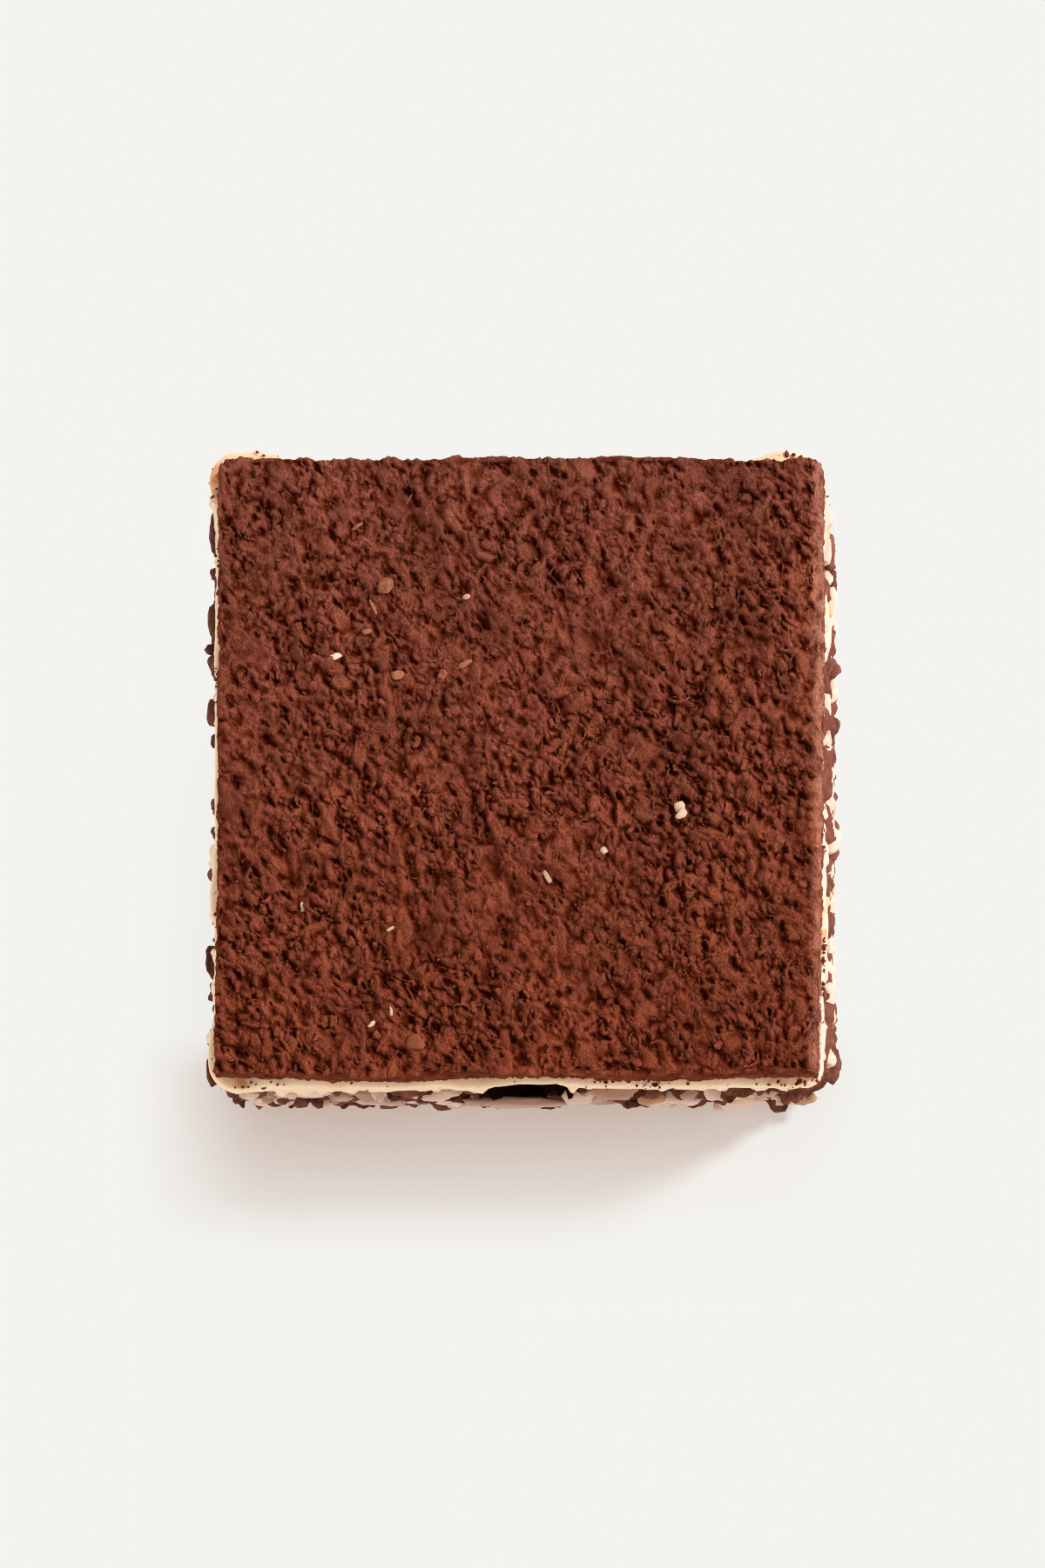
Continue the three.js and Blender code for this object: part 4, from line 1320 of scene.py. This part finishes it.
def build_side_lumps(materials):
    """The flakes, chocolate pieces and nuts of the base, one piece for each kind."""
    pieces = []
    for i, (kind, per_side, lengths, block, curl, name) in enumerate(LUMP_KINDS):
        rng = np.random.default_rng(LUMP_SEED + i)
        places, sizes, angles, coating = side_lumps(kind, per_side, lengths, rng)
        form = (LUMP_FORM_SEED + i, LUMP_DETAIL, LUMP_ROUGHNESS, block, curl, coating)
        pieces.append(lumps(name, places, sizes, angles, materials[kind], *form))
    return pieces


def open_light():
    """Light on the open floor, as the brightness of a white surface there."""
    rise = (np.arange(SKY_STEPS) + 0.5) / SKY_STEPS
    share = eased(rise, *ZENITH_FADE)
    sky = np.array([np.mean(2 * rise * within(limits, share)) for limits in zip(PALE, ZENITH)])
    suns = sum(strength * way.normalized().z * np.array(tone) for _, way, strength, _, tone in SUNS)
    return sky + suns / math.pi


def floor_shade(nodes, axes, fades):
    """How much of the shadow a place on the floor takes: the product of fades along the axes."""
    spans = [nodes.span(axes[axis], none * MM, full * MM, 0.0, most) for axis, none, full, most in fades]
    return reduce(nodes.times, spans)


def build_floor():
    """A pale floor that keeps its tone in the open and takes the slice's soft shadow at the front."""
    signs = ((-1, -1), (1, -1), (1, 1), (-1, 1))
    corners = [(x * FLOOR_REACH, y * FLOOR_REACH, FLOOR_LEVEL * MM) for x, y in signs]
    mesh = bpy.data.meshes.new("floor")
    mesh.from_pydata(corners, [], [(0, 1, 2, 3)])
    floor = bpy.data.objects.new("floor", mesh)
    bpy.context.scene.collection.objects.link(floor)
    nodes = Nodes(bpy.data.materials.new("floor"))
    axes = nodes.axes(nodes.add("NewGeometry").outputs["Position"])
    share = nodes.math("MAXIMUM", floor_shade(nodes, axes, FRONT_SHADE), floor_shade(nodes, axes, LEFT_SHADE))
    taken = nodes.mix(share, BLACK, SHADOW_DEPTH)
    emission = nodes.add("Emission", Color=nodes.mix(1.0, PALE, taken, "SUBTRACT"))
    diffuse = nodes.add("BsdfDiffuse", Color=nodes.mix(share, BLACK, tuple(SHADOW_DEPTH / open_light())))
    both = nodes.add("AddShader")
    nodes.put(both.inputs[0], diffuse.outputs[0])
    nodes.put(both.inputs[1], emission.outputs[0])
    mesh.materials.append(nodes.finish(both))


def build_camera():
    """A long lens at the photograph's angle and scale, held level with the slice's front edge."""
    per_pixel = SLICE_WIDTH / TOP_WIDTH_IN_PIXELS
    x, y = TOP_CENTRE_IN_PIXELS
    aim = Vector(((PICTURE_WIDTH / 2 - x) * per_pixel, (y - PICTURE_HEIGHT / 2) * per_pixel, CRUMB_LEVEL))
    back = Vector((math.tan(CAMERA_TILT_RIGHT), -math.tan(CAMERA_TILT_FRONT), 1.0)).normalized()
    right = Vector((0, 1, 0)).cross(back).normalized()
    up = back.cross(right)
    data = bpy.data.cameras.new("camera")
    data.sensor_width = SENSOR_WIDTH
    data.lens = SENSOR_WIDTH * CAMERA_DISTANCE / (PICTURE_HEIGHT * per_pixel)
    data.clip_end = CAMERA_SIGHT
    camera = bpy.data.objects.new("camera", data)
    turn = Matrix((right, up, back)).transposed().to_4x4()
    camera.matrix_world = Matrix.Translation((aim + back * CAMERA_DISTANCE) * MM) @ turn
    bpy.context.scene.collection.objects.link(camera)
    bpy.context.scene.camera = camera


def build_light():
    """A pale sky that is darker overhead, and the lamps."""
    scene = bpy.context.scene
    scene.view_settings.view_transform = "Standard"
    scene.cycles.filter_width = PIXEL_FILTER
    nodes = Nodes(bpy.data.worlds.new("studio"), "World")
    rise = nodes.axes(nodes.place("Generated"))["Z"]
    sky = nodes.mix(nodes.span(rise, *ZENITH_FADE), PALE, ZENITH)
    scene.world = nodes.finish(nodes.add("Background", Color=sky))
    for name, direction, strength, angle, tone in SUNS:
        light = bpy.data.lights.new(name, "SUN")
        light.energy = strength
        light.color = tone
        light.angle = angle
        lamp = bpy.data.objects.new(name, light)
        lamp.rotation_euler = direction.to_track_quat("Z", "Y").to_euler()
        scene.collection.objects.link(lamp)


def main():
    cocoa = cocoa_material()
    materials = {
        "flake": flake_material(*FLAKE),
        "chocolate": chocolate_material(*CHOCOLATE),
        "nut": flake_material(*NUT),
    }
    crumb = Crumb()
    layers = {
        "cocoa_top": [*build_crumb(crumb, cocoa), build_strands(crumb, cocoa), build_flecks(crumb)],
        "cream_filling": [build_cream(cream_material()), build_cream_specks(cocoa)],
        "chunky_base": [build_base(chocolate_material(*BASE_MASS)), *build_side_lumps(materials)],
    }
    for node, pieces in layers.items():
        for piece in pieces:
            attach(piece, "root")
            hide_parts(node)
    build_floor()
    build_camera()
    build_light()


main()
